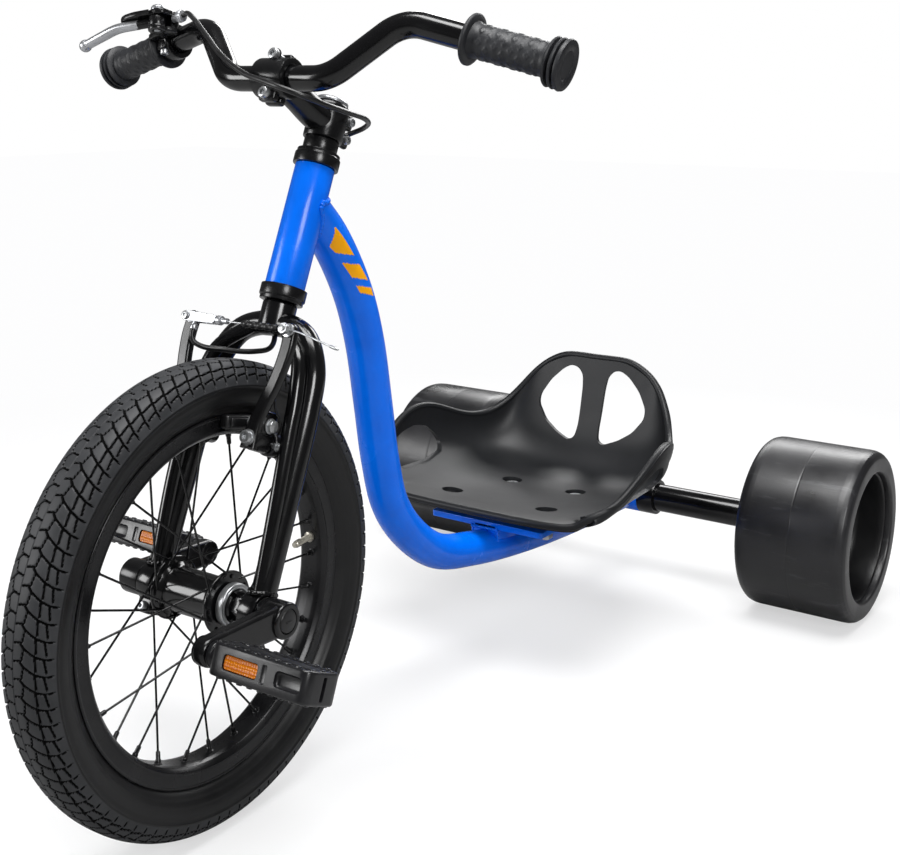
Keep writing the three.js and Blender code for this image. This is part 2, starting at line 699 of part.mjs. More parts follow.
function stemCapGeometry() {
  const bottom = stemClamp.top + gap;
  const top = bottom + stemCap.thickness;
  return turned([
    [0, bottom],
    [stemCap.radius, bottom],
    [stemCap.radius, top - stemCap.edge],
    [stemCap.radius - stemCap.edge, top],
    [stemCap.boltRadius, top],
    [stemCap.boltRadius, top + stemCap.boltHeight],
    [0, top + stemCap.boltHeight],
  ], 20);
}

function handlebarGeometry() {
  const left = vectors(handlebarRise);
  const right = vectors(mirrored(handlebarRise, -1)).reverse();
  return tube(bent([...right, ...left], handlebarBend, 5), handlebarRadius, 12);
}

const [, gripRoot, handlebarEnd] = vectors(handlebarRise);
const gripWay = handlebarEnd.clone().sub(gripRoot).normalize();
const gripStart = gripRoot.clone().addScaledVector(gripWay, (grip.start - gripRoot.x) / gripWay.x);

// A grip stands on its handlebar end: an inner flange, a plain barrel, two rings and a closed end disc.
function gripGeometry() {
  const bore = handlebarRadius + gap;
  const barrel = bore + grip.wall;
  const barEnd = gripStart.distanceTo(handlebarEnd) + gap;
  const end = barEnd + grip.overhang;
  const firstRing = end - grip.endThick - gripRings * grip.ringStep;
  const rings = Array.from({ length: gripRings }, (_, i) => firstRing + i * grip.ringStep).flatMap((spot) => [
    [barrel, spot],
    [grip.ringRadius, spot],
    [grip.ringRadius, spot + grip.ringThick],
    [barrel, spot + grip.ringThick],
  ]);
  const profile = [
    [bore, 0],
    [grip.flangeRadius, 0],
    [grip.flangeRadius, grip.flangeThick],
    [barrel, grip.flangeThick + grip.wall],
    ...rings,
    [barrel, end - grip.endThick],
    [grip.endRadius, end - grip.endThick],
    [grip.endRadius, end],
    [0, end],
    [0, barEnd],
    [bore, barEnd],
  ];
  return aimed(turned([...profile, profile[0]], 14), gripStart, gripWay);
}

place("stem", stemGeometry(), blackAlloy, steered);
place("stem_faceplate", faceplateGeometry(), blackAlloy, steered);
place("stem_cap", stemCapGeometry(), brightAlloy, steered);
place("handlebar", handlebarGeometry(), blackPaint, steered);

// Brake: arms on the fork's studs, pads beside the rim, wire from arm to arm
const arm = { back: 22.8, front: 44, baseRadius: 9.5, blockHalf: 7, blockHeight: 26, plateFront: 47, plateThick: 8 };
const armLine = [[42, 128], [42, 140], [43.5, 153], [47, 167], [51.5, 182], [55, 200], [56.5, 216], [56, 230], [55.5, 236]];
const armWidth = { foot: 13, top: 11, waist: 9.5 };
const armBolt = { headRadius: 7, headThick: 5 };
const pad = { clearance: 2.4, thickness: 9, length: 56, height: 12, forward: 32, aboveBead: 1, studRadius: 3, studEnd: 54 };
const padFace = rim.flangeHalf + rim.wall + pad.clearance;
const padHeight = Math.sqrt((rim.beadRadius + pad.aboveBead) ** 2 - pad.forward ** 2);
const wire = { radius: 0.8, y: -50.5, z: 230, from: -14, to: 56 };
const wireTail = [[70, -50.5, 229], [91, -50.5, 224.6], [113, -50.5, 219.8]];
const pipe = { radius: 2.6, bore: 1.4, boreDepth: 22, end: -9, cornerX: -46, foot: 219, bend: 8 };
const link = { x0: -60, x1: -16, height: 9, thickness: 7 };
const boot = { start: 8, end: 47, ridge: 3.3, valley: 2.7 };
const bootRidges = 5;

// A strip of changing width along a smooth line of [x, z] places.
function stripOutline(line, widthAt, count) {
  const curve = new THREE.SplineCurve(line.map(([x, z]) => new THREE.Vector2(x, z)));
  const spots = curve.getSpacedPoints(count);
  const edge = (way) => spots.map((spot, i) => {
    const along = curve.getTangentAt(i / count);
    const half = (way * widthAt(i / count)) / 2;
    return new THREE.Vector2(spot.x - half * along.y, spot.y + half * along.x);
  });
  return new THREE.Shape([...edge(1), ...edge(-1).reverse()]);
}

function armWidthAt(share) {
  const plain = THREE.MathUtils.lerp(armWidth.foot, armWidth.top, share);
  return plain - (plain - armWidth.waist) * Math.sin(share * Math.PI);
}

function brakeArmGeometry() {
  const barrel = barForward(pivot.x, pivotHeight, arm.back, arm.front, arm.baseRadius, 16);
  const upper = plate(stripOutline(armLine, armWidthAt, 10), arm.plateThick, 1).rotateX(quarterTurn);
  upper.translate(0, -arm.plateFront + arm.plateThick / 2, 0);
  const depth = arm.front - arm.back;
  const blockY = -(arm.front + arm.back) / 2;
  const blockZ = pivotHeight + arm.blockHeight / 2;
  const body = block(2 * arm.blockHalf, depth, arm.blockHeight, pivot.x, blockY, blockZ);
  const studBore = barForward(pivot.x, pivotHeight, 0, arm.plateFront + overrun, pivot.studRadius + gap, 12);
  const padBore = barAlongX(padFace, pad.studEnd + overrun, -pad.forward, padHeight, pad.studRadius + gap, 10);
  return cut(join(barrel, upper, body), studBore, padBore);
}

function armBoltGeometry() {
  const seat = arm.plateFront + gap;
  return barForward(pivot.x, pivotHeight, seat, seat + armBolt.headThick, armBolt.headRadius, 6);
}

function padGeometry() {
  const middle = padFace + pad.thickness / 2;
  const shoe = block(pad.thickness, pad.length, pad.height, middle, 0, 0);
  shoe.rotateX(Math.atan2(pad.forward, padHeight)).translate(0, -pad.forward, padHeight);
  return join(shoe, barAlongX(middle, pad.studEnd, -pad.forward, padHeight, pad.studRadius, 10));
}

function innerCableGeometry() {
  const straight = [wire.from, 0, wire.to / 2, wire.to].map((x) => [x, wire.y, wire.z]);
  return tube(flowing([...straight, ...wireTail], 9), wire.radius, 6);
}

function bootGeometry() {
  const profile = [[boot.start, wire.radius + gap]];
  const step = (boot.end - boot.start) / (2 * bootRidges);
  for (let i = 0; i <= 2 * bootRidges; i++) {
    profile.push([boot.start + i * step, i % 2 ? boot.ridge : boot.valley]);
  }
  profile.push([boot.end, wire.radius + gap]);
  return turnedAboutX([...profile, profile[0]], 10).translate(0, wire.y, wire.z);
}

// The curved pipe with the swinging link that holds its end.
function noodleGeometry() {
  const foot = [pipe.cornerX, wire.y, pipe.foot];
  const corners = vectors([foot, [pipe.cornerX, wire.y, wire.z], [pipe.end, wire.y, wire.z]]);
  const curved = tube(bent(corners, pipe.bend, 6), pipe.radius, 10);
  const cradle = block(link.x1 - link.x0, link.thickness, link.height, (link.x0 + link.x1) / 2, wire.y, wire.z);
  const bore = barAlongX(pipe.end - pipe.boreDepth, pipe.end + overrun, wire.y, wire.z, pipe.bore, 8);
  return cut(join(curved, cradle), bore);
}

place("inner_cable", innerCableGeometry(), zincSteel, steered);
place("cable_boot", bootGeometry(), rubber, steered);
place("brake_noodle", noodleGeometry(), zincSteel, steered);

for (const side of sides) {
  const mirror = new THREE.Group();
  mirror.scale.x = side.sign;
  steered.add(mirror);
  place(side.name + "_grip", gripGeometry(), gripRubber, mirror);
  place(side.name + "_brake_arm", brakeArmGeometry(), blackAlloy, mirror);
  place(side.name + "_brake_bolt", armBoltGeometry(), zincSteel, mirror);
  place(side.name + "_brake_pad", padGeometry(), rubber, mirror);
}

// Brake lever on the right grip's inner side: +X out along the handlebar, +Y away from it, +Z up
const leverSpot = 160;
const leverForward = new THREE.Vector3(-0.36, -0.9, -0.17);
const bracket = { clampRadius: 16.5, clampHalf: 6.5, low: -2, high: 17, earRadius: 8.5 };
const bracketRoot = [[-26, 16], [-20, 11], [7, 11], [8, 26], [-22, 27]];
const bracketTop = [[-26, 16], [-20, 11], [7, 11], [8, 25], [20, 33], [25, 40], [23, 47], [15, 50], [2, 48], [-22, 38], [-26, 34]];
const cheekSlot = { start: 22, width: 9.6, reach: 70 };
const pin = { x: -14, y: 31, radius: 3, headRadius: 6.5, headHeight: 5 };
const blade = { radius: 4.4, root: 8, tip: 6, z: 7 };
const bladeRun = [[pin.x, pin.y, blade.z], [4, 39, blade.z], [26, 47.5, blade.z], [44, 52, 3.5], [65, 56.5, -1]];
const adjuster = { x: -26, length: 13, y: 21, z: 9, radius: 3.8, head: 5.2, headLength: 6 };

const leverFrame = new THREE.Group();
const outward = gripWay.clone().setX(-gripWay.x);
const forward = leverForward.clone().addScaledVector(outward, -leverForward.dot(outward)).normalize();
const leverAxes = new THREE.Matrix4().makeBasis(outward, forward, outward.clone().cross(forward));
leverFrame.quaternion.setFromRotationMatrix(leverAxes);
leverFrame.position.copy(gripRoot).setX(-gripRoot.x).addScaledVector(outward, (leverSpot - gripRoot.x) / gripWay.x);
steered.add(leverFrame);
leverFrame.updateMatrix();

// The lever's bracket: a ring round the handlebar, a body, and two ears with the blade's slot between them.
function bracketGeometry() {
  const ring = barAlongX(-bracket.clampHalf, bracket.clampHalf, 0, 0, bracket.clampRadius, 18);
  const slotTop = blade.z + cheekSlot.width / 2;
  const slotFoot = blade.z - cheekSlot.width / 2;
  const root = plate(outlineOf(bracketRoot), bracket.high - bracket.low, 1);
  root.translate(0, 0, (bracket.high + bracket.low) / 2);
  const top = plate(outlineOf(bracketTop), bracket.high - slotTop, 1).translate(0, 0, (bracket.high + slotTop) / 2);
  const ear = upright(pin.x, pin.y, bracket.low, slotFoot, bracket.earRadius, 16);
  const reach = bracket.clampHalf + cheekSlot.reach;
  const relief = barAlongX(-reach, reach, 0, 0, handlebarRadius + gap, 16);
  const slotMiddle = cheekSlot.start + cheekSlot.reach / 2;
  const slot = block(2 * cheekSlot.reach, cheekSlot.reach, cheekSlot.width, 0, slotMiddle, blade.z);
  return cut(join(ring, root, top, ear), relief, slot, pinHole(bracket.low, bracket.high));
}

function upright(x, y, z0, z1, radius, facets) {
  return bar(new THREE.Vector3(x, y, z0), new THREE.Vector3(x, y, z1), radius, facets);
}

function pinHole(low, high) {
  return upright(pin.x, pin.y, low - overrun, high + overrun, pin.radius + gap, 12);
}

function leverPinGeometry() {
  const shank = upright(pin.x, pin.y, bracket.low, bracket.high + pin.headHeight, pin.radius, 12);
  const top = bracket.high + gap;
  return join(shank, upright(pin.x, pin.y, top, top + pin.headHeight, pin.headRadius, 14));
}

function leverGeometry() {
  const half = cheekSlot.width / 2 - gap;
  const root = upright(pin.x, pin.y, blade.z - half, blade.z + half, blade.root, 16);
  const run = tube(flowing(bladeRun, 8), blade.radius, 8);
  const tip = new THREE.SphereGeometry(blade.tip, 8, 6).translate(...bladeRun[bladeRun.length - 1]);
  return cut(join(root, run, tip), pinHole(blade.z - half, blade.z + half));
}

function adjusterGeometry() {
  const start = adjuster.x - gap;
  const body = barAlongX(start - adjuster.length, start, adjuster.y, adjuster.z, adjuster.radius, 10);
  const head = barAlongX(start - adjuster.headLength, start, adjuster.y, adjuster.z, adjuster.head, 10);
  return join(body, head);
}

place("lever_bracket", bracketGeometry(), blackAlloy, leverFrame);
place("lever_pin", leverPinGeometry(), zincSteel, leverFrame);
place("brake_lever", leverGeometry(), brightAlloy, leverFrame);
place("cable_adjuster", adjusterGeometry(), brightAlloy, leverFrame);

// The cable's housing, from the adjuster round the stem and down the right of the head tube to the pipe
const cableRadius = 2.4;
const cableRun = [
  [-106, -86, 492], [-93, -90, 483], [-76, -94, 471], [-57, -98, 457], [-35, -102, 444], [-12, -104, 433],
  [11, -107, 426], [33, -107, 420], [50, -97, 417], [57, -76, 418], [55, -45, 424], [42, 2, 435],
  [14, 36, 440], [-16, 36, 425], [-27, 26, 385], [-27, 20, 330], [-27, 20, 275], [-20, 21, 248],
  [-12, 18, 231], [-8, 9, 221], [-11, -4, 215], [-18, -17, 211], [-27, -31, 208.5], [-37, -42, 206.5], [-44, -48, 209], [-46, -50.4, 214],
];

function cableGeometry() {
  const outlet = adjuster.x - adjuster.length - 2 * gap;
  const start = new THREE.Vector3(outlet, adjuster.y, adjuster.z).applyMatrix4(leverFrame.matrix);
  const next = new THREE.Vector3(outlet - adjuster.headLength, adjuster.y, adjuster.z).applyMatrix4(leverFrame.matrix);
  const end = new THREE.Vector3(pipe.cornerX, wire.y, pipe.foot - gap);
  const run = new THREE.CatmullRomCurve3([start, next, ...vectors(cableRun), end], false, "centripetal");
  return tube(run.getPoints(56), cableRadius, 8);
}

place("brake_cable", cableGeometry(), rubber, steered);

// Frame, measured back from the front axle and up from the ground
const chassis = new THREE.Group();
chassis.position.y = frontAxleY;
trike.add(chassis);

// Places at the seat and behind it are measured from the rear axle, so they are negative in front of it.
const seatGroup = new THREE.Group();
seatGroup.position.y = rearAxleY;
trike.add(seatGroup);

const mainTubeRadius = 19.05;
const neckRun = [[0, 140, 528], [0, 172, 496], [0, 205, 445], [0, 224, 395], [0, 238, 330], [0, 250, 270], [0, 266, 222], [0, 298, 183]];
const backRun = [[0, -450, 148], [0, -380, 131], [0, -280, 117], [0, -160, 108], [0, -10, rearRadius]];
const frontBar = { front: -353, back: -310, half: 72, top: 155, thickness: 7 };
const rearBar = { y: -223, half: 56, top: 151, size: 25, wall: 2.5 };
const saddle = { half: 16, bottom: 120 };
const sleeve = { radius: 22.5, half: 46 };
const axleTube = { radius: 17.5, bore: 14.5, wheelClearance: 14 };
const axleBolt = { x: 32, radius: 3.5, headRadius: 6.5, headHeight: 4.5, tip: 9 };
const frontSeatBolt = { x: 62, y: -325, top: frontBar.top, nut: 141, pan: 171 };
const rearSeatBolt = { x: 43, y: rearBar.y, top: rearBar.top, nut: 119, pan: 163 };
const seatBolts = [frontSeatBolt, rearSeatBolt];
const seatBolt = { radius: 3.8, headRadius: 8, headHeight: 4, nutRadius: 7, nutHeight: 5.5, reach: 2 };

function headShellPiece(bottom, top, radius) {
  const profile = [
    [0, bottom],
    [radius, bottom],
    [radius, top],
    [0, top],
  ];
  return turned(profile, 20).rotateX(-steererLean).translate(0, 0, frontRadius);
}

// The two cross bars that carry the seat, the saddle under the first and the axle's sleeve.
function seatBars() {
  const frontY = wheelbase + (frontBar.front + frontBar.back) / 2;
  const frontDepth = frontBar.back - frontBar.front;
  const saddleTop = frontBar.top - frontBar.thickness / 2;
  const rearY = wheelbase + rearBar.y;
  const rearZ = rearBar.top - rearBar.size / 2;
  const inside = rearBar.size - 2 * rearBar.wall;
  const square = block(2 * rearBar.half, rearBar.size, rearBar.size, 0, rearY, rearZ);
  const hollow = block(2 * (rearBar.half + overrun), inside, inside, 0, rearY, rearZ);
  return {
    hollowed: cut(square, hollow),
    plain: [
      block(2 * frontBar.half, frontDepth, frontBar.thickness, 0, frontY, saddleTop),
      block(2 * saddle.half, frontDepth, saddleTop - saddle.bottom, 0, frontY, (saddleTop + saddle.bottom) / 2),
      barAlongX(-sleeve.half, sleeve.half, wheelbase, rearRadius, sleeve.radius, 20),
    ],
  };
}

function frameGeometry() {
  const run = [...neckRun, ...backRun.map(([x, y, z]) => [x, wheelbase + y, z])];
  const backbone = tube(flowing(run, 20), mainTubeRadius, 12);
  const headShell = headShellPiece(headTube.bottom, headTube.top, headTube.radius);
  const headBore = headShellPiece(headTube.bottom - overrun, headTube.top + overrun, headTube.bore);
  const sleeveReach = sleeve.half + overrun;
  const cutters = [headBore, barAlongX(-sleeveReach, sleeveReach, wheelbase, rearRadius, axleTube.radius + gap, 20)];
  const sleeveTop = rearRadius + sleeve.radius + overrun;
  for (const { sign } of sides) {
    for (const spot of seatBolts) {
      const [low, high] = [spot.nut - overrun, spot.top + overrun];
      cutters.push(upright(sign * spot.x, wheelbase + spot.y, low, high, seatBolt.radius + gap, 10));
    }
    cutters.push(upright(sign * axleBolt.x, wheelbase, rearRadius, sleeveTop, axleBolt.radius + gap, 10));
  }
  const { hollowed, plain } = seatBars();
  return cut(join(join(hollowed, backbone), headShell, ...plain), ...cutters);
}

// Seat: a moulded bucket whose middle line and rim run from the front lip to the top of the back
const seatMiddle = [
  [-385, 179], [-365, 177], [-330, 173], [-290, 169], [-250, 166], [-210, 164], [-175, 164.5],
  [-148, 171], [-128, 189], [-114, 219], [-104, 257], [-97, 288], [-94, 302],
];
const seatRim = [
  [134, -369, 181], [150, -350, 195], [158, -320, 216], [162, -285, 236], [161, -252, 247], [154, -222, 243], [141, -192, 229],
  [127, -162, 222], [114, -137, 229], [103, -118, 245], [92, -107, 263], [78, -98, 284], [61, -95, 296], [42, -94, 302],
];
const seatWall = { middle: 4.5, rim: 8 };
const seatRows = 16;
const seatHalfColumns = 6;
const seatSquareness = 3;
const backOpening = [
  [15, 262], [17, 277], [24, 285], [34, 287], [46, 281], [62, 265], [73, 246], [73, 234], [60, 216], [42, 204],
  [24, 196.5], [16, 201], [14, 214],
];
const sideOpening = [
  [-330, 190], [-326, 200], [-312, 210], [-288, 219], [-262, 223], [-242, 219], [-231, 208], [-228, 197],
  [-236, 189], [-268, 185], [-316, 185],
];
const openingReach = { backFrom: -145, backTo: -40, sideFrom: 115, sideTo: 185 };
const dimple = { bossRadius: 15.5, radius: 12, floor: 5, depth: 20 };

function seatPoint(u, v) {
  const middle = seatMiddleLine.getPoint(u);
  const edge = seatRimLine.getPoint(u);
  const turn = Math.abs(v) * quarterTurn;
  const across = Math.sin(turn) ** (2 / seatSquareness);
  const rise = 1 - Math.cos(turn) ** (2 / seatSquareness);
  const y = middle.y + (edge.y - middle.y) * rise;
  const z = middle.z + (edge.z - middle.z) * rise;
  return new THREE.Vector3(Math.sign(v) * edge.x * across, y, z);
}

const seatMiddleRows = seatMiddle.map(([y, z]) => [0, y, z]);
const seatMiddleLine = new THREE.CatmullRomCurve3(vectors(seatMiddleRows), false, "centripetal");
const seatRimLine = new THREE.CatmullRomCurve3(vectors(seatRim), false, "centripetal");

// The shell's two skins: the rider's side first, then the outer side one wall away.
function seatShell() {
  const columns = 2 * seatHalfColumns;
  const grid = [];
  for (let i = 0; i <= seatRows; i++) {
    for (let j = 0; j <= columns; j++) {
      grid.push(seatPoint(i / seatRows, j / seatHalfColumns - 1));
    }
  }
  const at = (i, j) => i * (columns + 1) + j;
  const outer = [];
  for (let i = 0; i <= seatRows; i++) {
    for (let j = 0; j <= columns; j++) {
      const back = grid[at(Math.min(i + 1, seatRows), j)].clone().sub(grid[at(Math.max(i - 1, 0), j)]);
      const across = grid[at(i, Math.min(j + 1, columns))].clone().sub(grid[at(i, Math.max(j - 1, 0))]);
      const edge = i === 0 || i === seatRows || j === 0 || j === columns;
      const wall = edge ? seatWall.rim : seatWall.middle;
      outer.push(grid[at(i, j)].clone().addScaledVector(back.cross(across).normalize(), wall));
    }
  }
  const count = grid.length;
  const faces = [];
  const quad = (a, b, c, d) => faces.push(a, b, c, a, c, d);
  for (let i = 0; i < seatRows; i++) {
    for (let j = 0; j < columns; j++) {
      quad(at(i, j), at(i, j + 1), at(i + 1, j + 1), at(i + 1, j));
      quad(count + at(i, j), count + at(i + 1, j), count + at(i + 1, j + 1), count + at(i, j + 1));
    }
    quad(at(i, 0), at(i + 1, 0), count + at(i + 1, 0), count + at(i, 0));
    quad(at(i + 1, columns), at(i, columns), count + at(i, columns), count + at(i + 1, columns));
  }
  for (let j = 0; j < columns; j++) {
    quad(at(0, j + 1), at(0, j), count + at(0, j), count + at(0, j + 1));
    const [top, next] = [at(seatRows, j), at(seatRows, j + 1)];
    quad(top, next, count + next, count + top);
  }
  return new THREE.BufferGeometry().setFromPoints([...grid, ...outer]).setIndex(faces);
}

function seatGeometry() {
  const bosses = [];
  const cutters = [];
  const backDepth = openingReach.backTo - openingReach.backFrom;
  const sideDepth = openingReach.sideTo - openingReach.sideFrom;
  for (const { sign } of sides) {
    for (const spot of seatBolts) {
      const x = sign * spot.x;
      const floor = spot.top + gap + dimple.floor;
      bosses.push(upright(x, spot.y, spot.top + gap, spot.pan, dimple.bossRadius, 18));
      cutters.push(upright(x, spot.y, floor, floor + dimple.depth, dimple.radius, 18));
      cutters.push(upright(x, spot.y, spot.top - overrun, floor + overrun, seatBolt.radius + gap, 10));
    }
    const back = plate(outlineOf(backOpening.map(([x, z]) => [sign * x, z])), backDepth, 1).rotateX(quarterTurn);
    cutters.push(back.translate(0, (openingReach.backTo + openingReach.backFrom) / 2, 0));
    const wing = plate(outlineOf(sideOpening), sideDepth, 1).rotateX(quarterTurn).rotateZ(quarterTurn);
    cutters.push(wing.translate((sign * (openingReach.sideTo + openingReach.sideFrom)) / 2, 0, 0));
  }
  return cut(join(seatShell(), ...bosses), ...cutters);
}

function seatBoltGeometry(spot, x) {
  const seat = spot.top + 2 * gap + dimple.floor;
  const shank = upright(x, spot.y, spot.nut - seatBolt.reach, seat + gap, seatBolt.radius, 10);
  const cap = upright(x, spot.y, seat, seat + seatBolt.headHeight, seatBolt.headRadius, 14);
  return join(shank, cap, upright(x, spot.y, spot.nut, spot.nut + seatBolt.nutHeight, seatBolt.nutRadius, 6));
}

place("frame", frameGeometry(), bluePaint, chassis);
place("seat", seatGeometry(), blackPlastic, seatGroup);
for (const { name, sign } of sides) {
  place(name + "_front_seat_bolt", seatBoltGeometry(frontSeatBolt, sign * frontSeatBolt.x), zincSteel, seatGroup);
  place(name + "_rear_seat_bolt", seatBoltGeometry(rearSeatBolt, sign * rearSeatBolt.x), zincSteel, seatGroup);
}

// Rear axle and wheels, about the rear axle
const rearAxle = new THREE.Group();
rearAxle.position.set(0, rearAxleY, rearRadius);
trike.add(rearAxle);
const rod = { radius: 6, tip: 2.7, bushRadius: 14.2, bushLength: 30 };
const wheel = {
  half: rearWheelWidth / 2, shoulder: 1.5, round: 12, wall: 27, lip: 5, webOut: 16, webIn: 5, hubRadius: 24, hubOut: 24,
  hubIn: -60, bore: 9, draft: 5,
};
const wheelBearing = { radius: 14, width: 9 };
const axleNut = { radius: 10.5, thickness: 9, washerRadius: 8, washerThick: 2 };
const axleTubeHalf = rearTrack / 2 + wheel.hubIn - axleTube.wheelClearance;
const nutStart = rearTrack / 2 + wheel.hubOut + gap;
const nutMiddle = nutStart + axleNut.washerThick;
const nutEnd = nutMiddle + axleNut.thickness;
const drumFacets = 32;

function axleTubeGeometry() {
  const shell = barAlongX(-axleTubeHalf, axleTubeHalf, 0, 0, axleTube.radius, 20);
  const bore = barAlongX(-axleTubeHalf - overrun, axleTubeHalf + overrun, 0, 0, axleTube.bore, 20);
  const holeTop = axleTube.radius + overrun;
  const screwHoles = sides.map(({ sign }) => upright(sign * axleBolt.x, 0, 0, holeTop, axleBolt.radius + gap, 10));
  return cut(shell, bore, ...screwHoles);
}

function axleRodGeometry() {
  const end = nutEnd + rod.tip;
  const bushEnd = axleTubeHalf - gap;
  const bushes = sides.map(({ sign }) =>
    barAlongX(sign * (bushEnd - rod.bushLength), sign * bushEnd, 0, 0, rod.bushRadius, 16));
  return join(barAlongX(-end, end, 0, 0, rod.radius, 14), ...bushes);
}

function axleBoltGeometry(x) {
  const shank = upright(x, 0, axleBolt.tip, sleeve.radius + gap, axleBolt.radius, 10);
  return join(shank, upright(x, 0, sleeve.radius + gap, sleeve.radius + gap + axleBolt.headHeight, axleBolt.headRadius, 6));
}

// A wheel's profile about its own middle: drum, outer lip, deep web and a hub with two bearing seats.
function rearWheelGeometry() {
  const top = cornerRadius(rearRadius, drumFacets);
  const seat = wheelBearing.radius + gap;
  const inside = top - wheel.wall;
  const profile = [
    [wheel.hubOut, seat],
    [wheel.hubOut, wheel.hubRadius],
    [wheel.webOut, wheel.hubRadius + wheel.shoulder],
    [wheel.webOut, inside - wheel.draft],
    [wheel.half - wheel.lip, inside - wheel.lip / 2],
    [wheel.half, inside + wheel.shoulder],
    [wheel.half, top - wheel.round],
    [wheel.half - wheel.round * 0.3, top - wheel.round * 0.3],
    [wheel.half - wheel.round, top],
    [-wheel.half + wheel.round, top],
    [-wheel.half + wheel.round * 0.3, top - wheel.round * 0.3],
    [-wheel.half, top - wheel.round],
    [-wheel.half, inside + wheel.shoulder],
    [wheel.webIn, inside - wheel.draft],
    [wheel.webIn, wheel.hubRadius + wheel.shoulder],
    [wheel.hubIn, wheel.hubRadius],
    [wheel.hubIn, seat],
    [wheel.hubIn + wheelBearing.width + gap, seat],
    [wheel.hubIn + wheelBearing.width + gap, wheel.bore],
    [wheel.hubOut - wheelBearing.width - gap, wheel.bore],
    [wheel.hubOut - wheelBearing.width - gap, seat],
  ];
  return turnedAboutX([...profile, profile[0]], drumFacets);
}

function wheelBearingGeometry(start) {
  const end = start + wheelBearing.width;
  const profile = [
    [start, rod.radius + gap],
    [start, wheelBearing.radius],
    [end, wheelBearing.radius],
    [end, rod.radius + gap],
  ];
  return turnedAboutX([...profile, profile[0]], 20);
}

function axleNutGeometry() {
  const washer = barAlongX(nutStart, nutMiddle, 0, 0, axleNut.washerRadius, 14);
  const nut = barAlongX(nutMiddle, nutEnd, 0, 0, axleNut.radius, 6);
  const bore = barAlongX(nutStart - overrun, nutEnd + overrun, 0, 0, rod.radius + gap, 14);
  return cut(join(washer, nut), bore);
}

place("rear_axle_tube", axleTubeGeometry(), blackPaint, rearAxle);
place("rear_axle_rod", axleRodGeometry(), zincSteel, rearAxle);
for (const side of sides) {
  place(side.name + "_axle_bolt", axleBoltGeometry(side.sign * axleBolt.x), zincSteel, rearAxle);
  const mirror = new THREE.Group();
  mirror.scale.x = side.sign;
  rearAxle.add(mirror);
  const middle = new THREE.Group();
  middle.position.x = rearTrack / 2;
  mirror.add(middle);
  place(side.name + "_rear_wheel", rearWheelGeometry(), wheelPlastic, middle);
  place(side.name + "_inner_bearing", wheelBearingGeometry(wheel.hubIn), bearingSteel, middle);
  place(side.name + "_outer_bearing", wheelBearingGeometry(wheel.hubOut - wheelBearing.width), bearingSteel, middle);
  place(side.name + "_axle_nut", axleNutGeometry(), zincSteel, mirror);
}

export default trike;
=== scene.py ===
# Drift trike: looks of the painted frame, spoked front wheel, rim brake, bucket seat and hard rear wheels.
# Shapes are built in millimetres about the same centres as the CAD part, then placed in metres.
import math

import bmesh
import bpy
import numpy as np
from mathutils import Matrix, Vector


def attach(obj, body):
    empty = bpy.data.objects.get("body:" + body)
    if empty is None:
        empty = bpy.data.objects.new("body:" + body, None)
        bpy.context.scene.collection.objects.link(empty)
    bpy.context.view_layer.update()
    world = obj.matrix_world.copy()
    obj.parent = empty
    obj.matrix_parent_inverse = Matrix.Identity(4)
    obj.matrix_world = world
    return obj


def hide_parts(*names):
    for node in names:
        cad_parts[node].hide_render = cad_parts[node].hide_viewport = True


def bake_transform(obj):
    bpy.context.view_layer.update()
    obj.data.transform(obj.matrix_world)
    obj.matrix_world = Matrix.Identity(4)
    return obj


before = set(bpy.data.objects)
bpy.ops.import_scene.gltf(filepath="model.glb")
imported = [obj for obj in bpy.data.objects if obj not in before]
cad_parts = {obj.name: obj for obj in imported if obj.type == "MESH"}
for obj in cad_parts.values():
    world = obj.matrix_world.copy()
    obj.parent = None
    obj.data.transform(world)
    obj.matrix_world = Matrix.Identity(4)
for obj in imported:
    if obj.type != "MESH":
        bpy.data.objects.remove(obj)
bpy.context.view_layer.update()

MM = 0.001
FULL = 2 * math.pi
TRAIL = math.radians(-23)


def shift(x, y, z):
    return Matrix.Translation((x, y, z))


def spin(angle, axis="X"):
    return Matrix.Rotation(angle, 4, axis)


FRONT_Y, REAR_Y = -349.5, 450.5
TYRE_RADIUS, DRUM_RADIUS = 205, 104
WHEEL = shift(0, FRONT_Y, TYRE_RADIUS)
STEER = WHEEL @ spin(TRAIL)
CHASSIS = shift(0, FRONT_Y, 0)
REAR = shift(0, REAR_Y, DRUM_RADIUS)
SEAT_PLACE = shift(0, REAR_Y, 0)
CRANK_LEAN, PEDAL_TILT, CRANK_LENGTH = math.radians(0.8), math.radians(22), 85
CRANKS = WHEEL @ spin(-CRANK_LEAN)
QUARTER = math.pi / 2
ALONG_X = spin(QUARTER, "Y")
MIRROR = Matrix.Scale(-1, 4, (1, 0, 0))
SIDES = (("left", Matrix()), ("right", MIRROR))


# Materials

def tree_of(name):
    """A new material, its node tree and its shader."""
    material = bpy.data.materials.new(name)
    material.use_nodes = True
    return material, material.node_tree, material.node_tree.nodes["Principled BSDF"]


def tuned(made, **values):
    """Sets inputs by name; an underscore stands for a space."""
    for name, value in values.items():
        made.inputs[name.replace("_", " ")].default_value = value
    return made


def node(tree, kind, **values):
    return tuned(tree.nodes.new("ShaderNode" + kind), **values)


def noise(tree, scale, stretch=(1, 1, 1), detail=4.0, rough=0.55):
    mapping = node(tree, "Mapping", Scale=stretch)
    texture = node(tree, "TexNoise", Scale=scale, Detail=detail, Roughness=rough)
    tree.links.new(node(tree, "TexCoord").outputs["Object"], mapping.inputs["Vector"])
    tree.links.new(mapping.outputs["Vector"], texture.inputs["Vector"])
    return texture.outputs["Fac"]


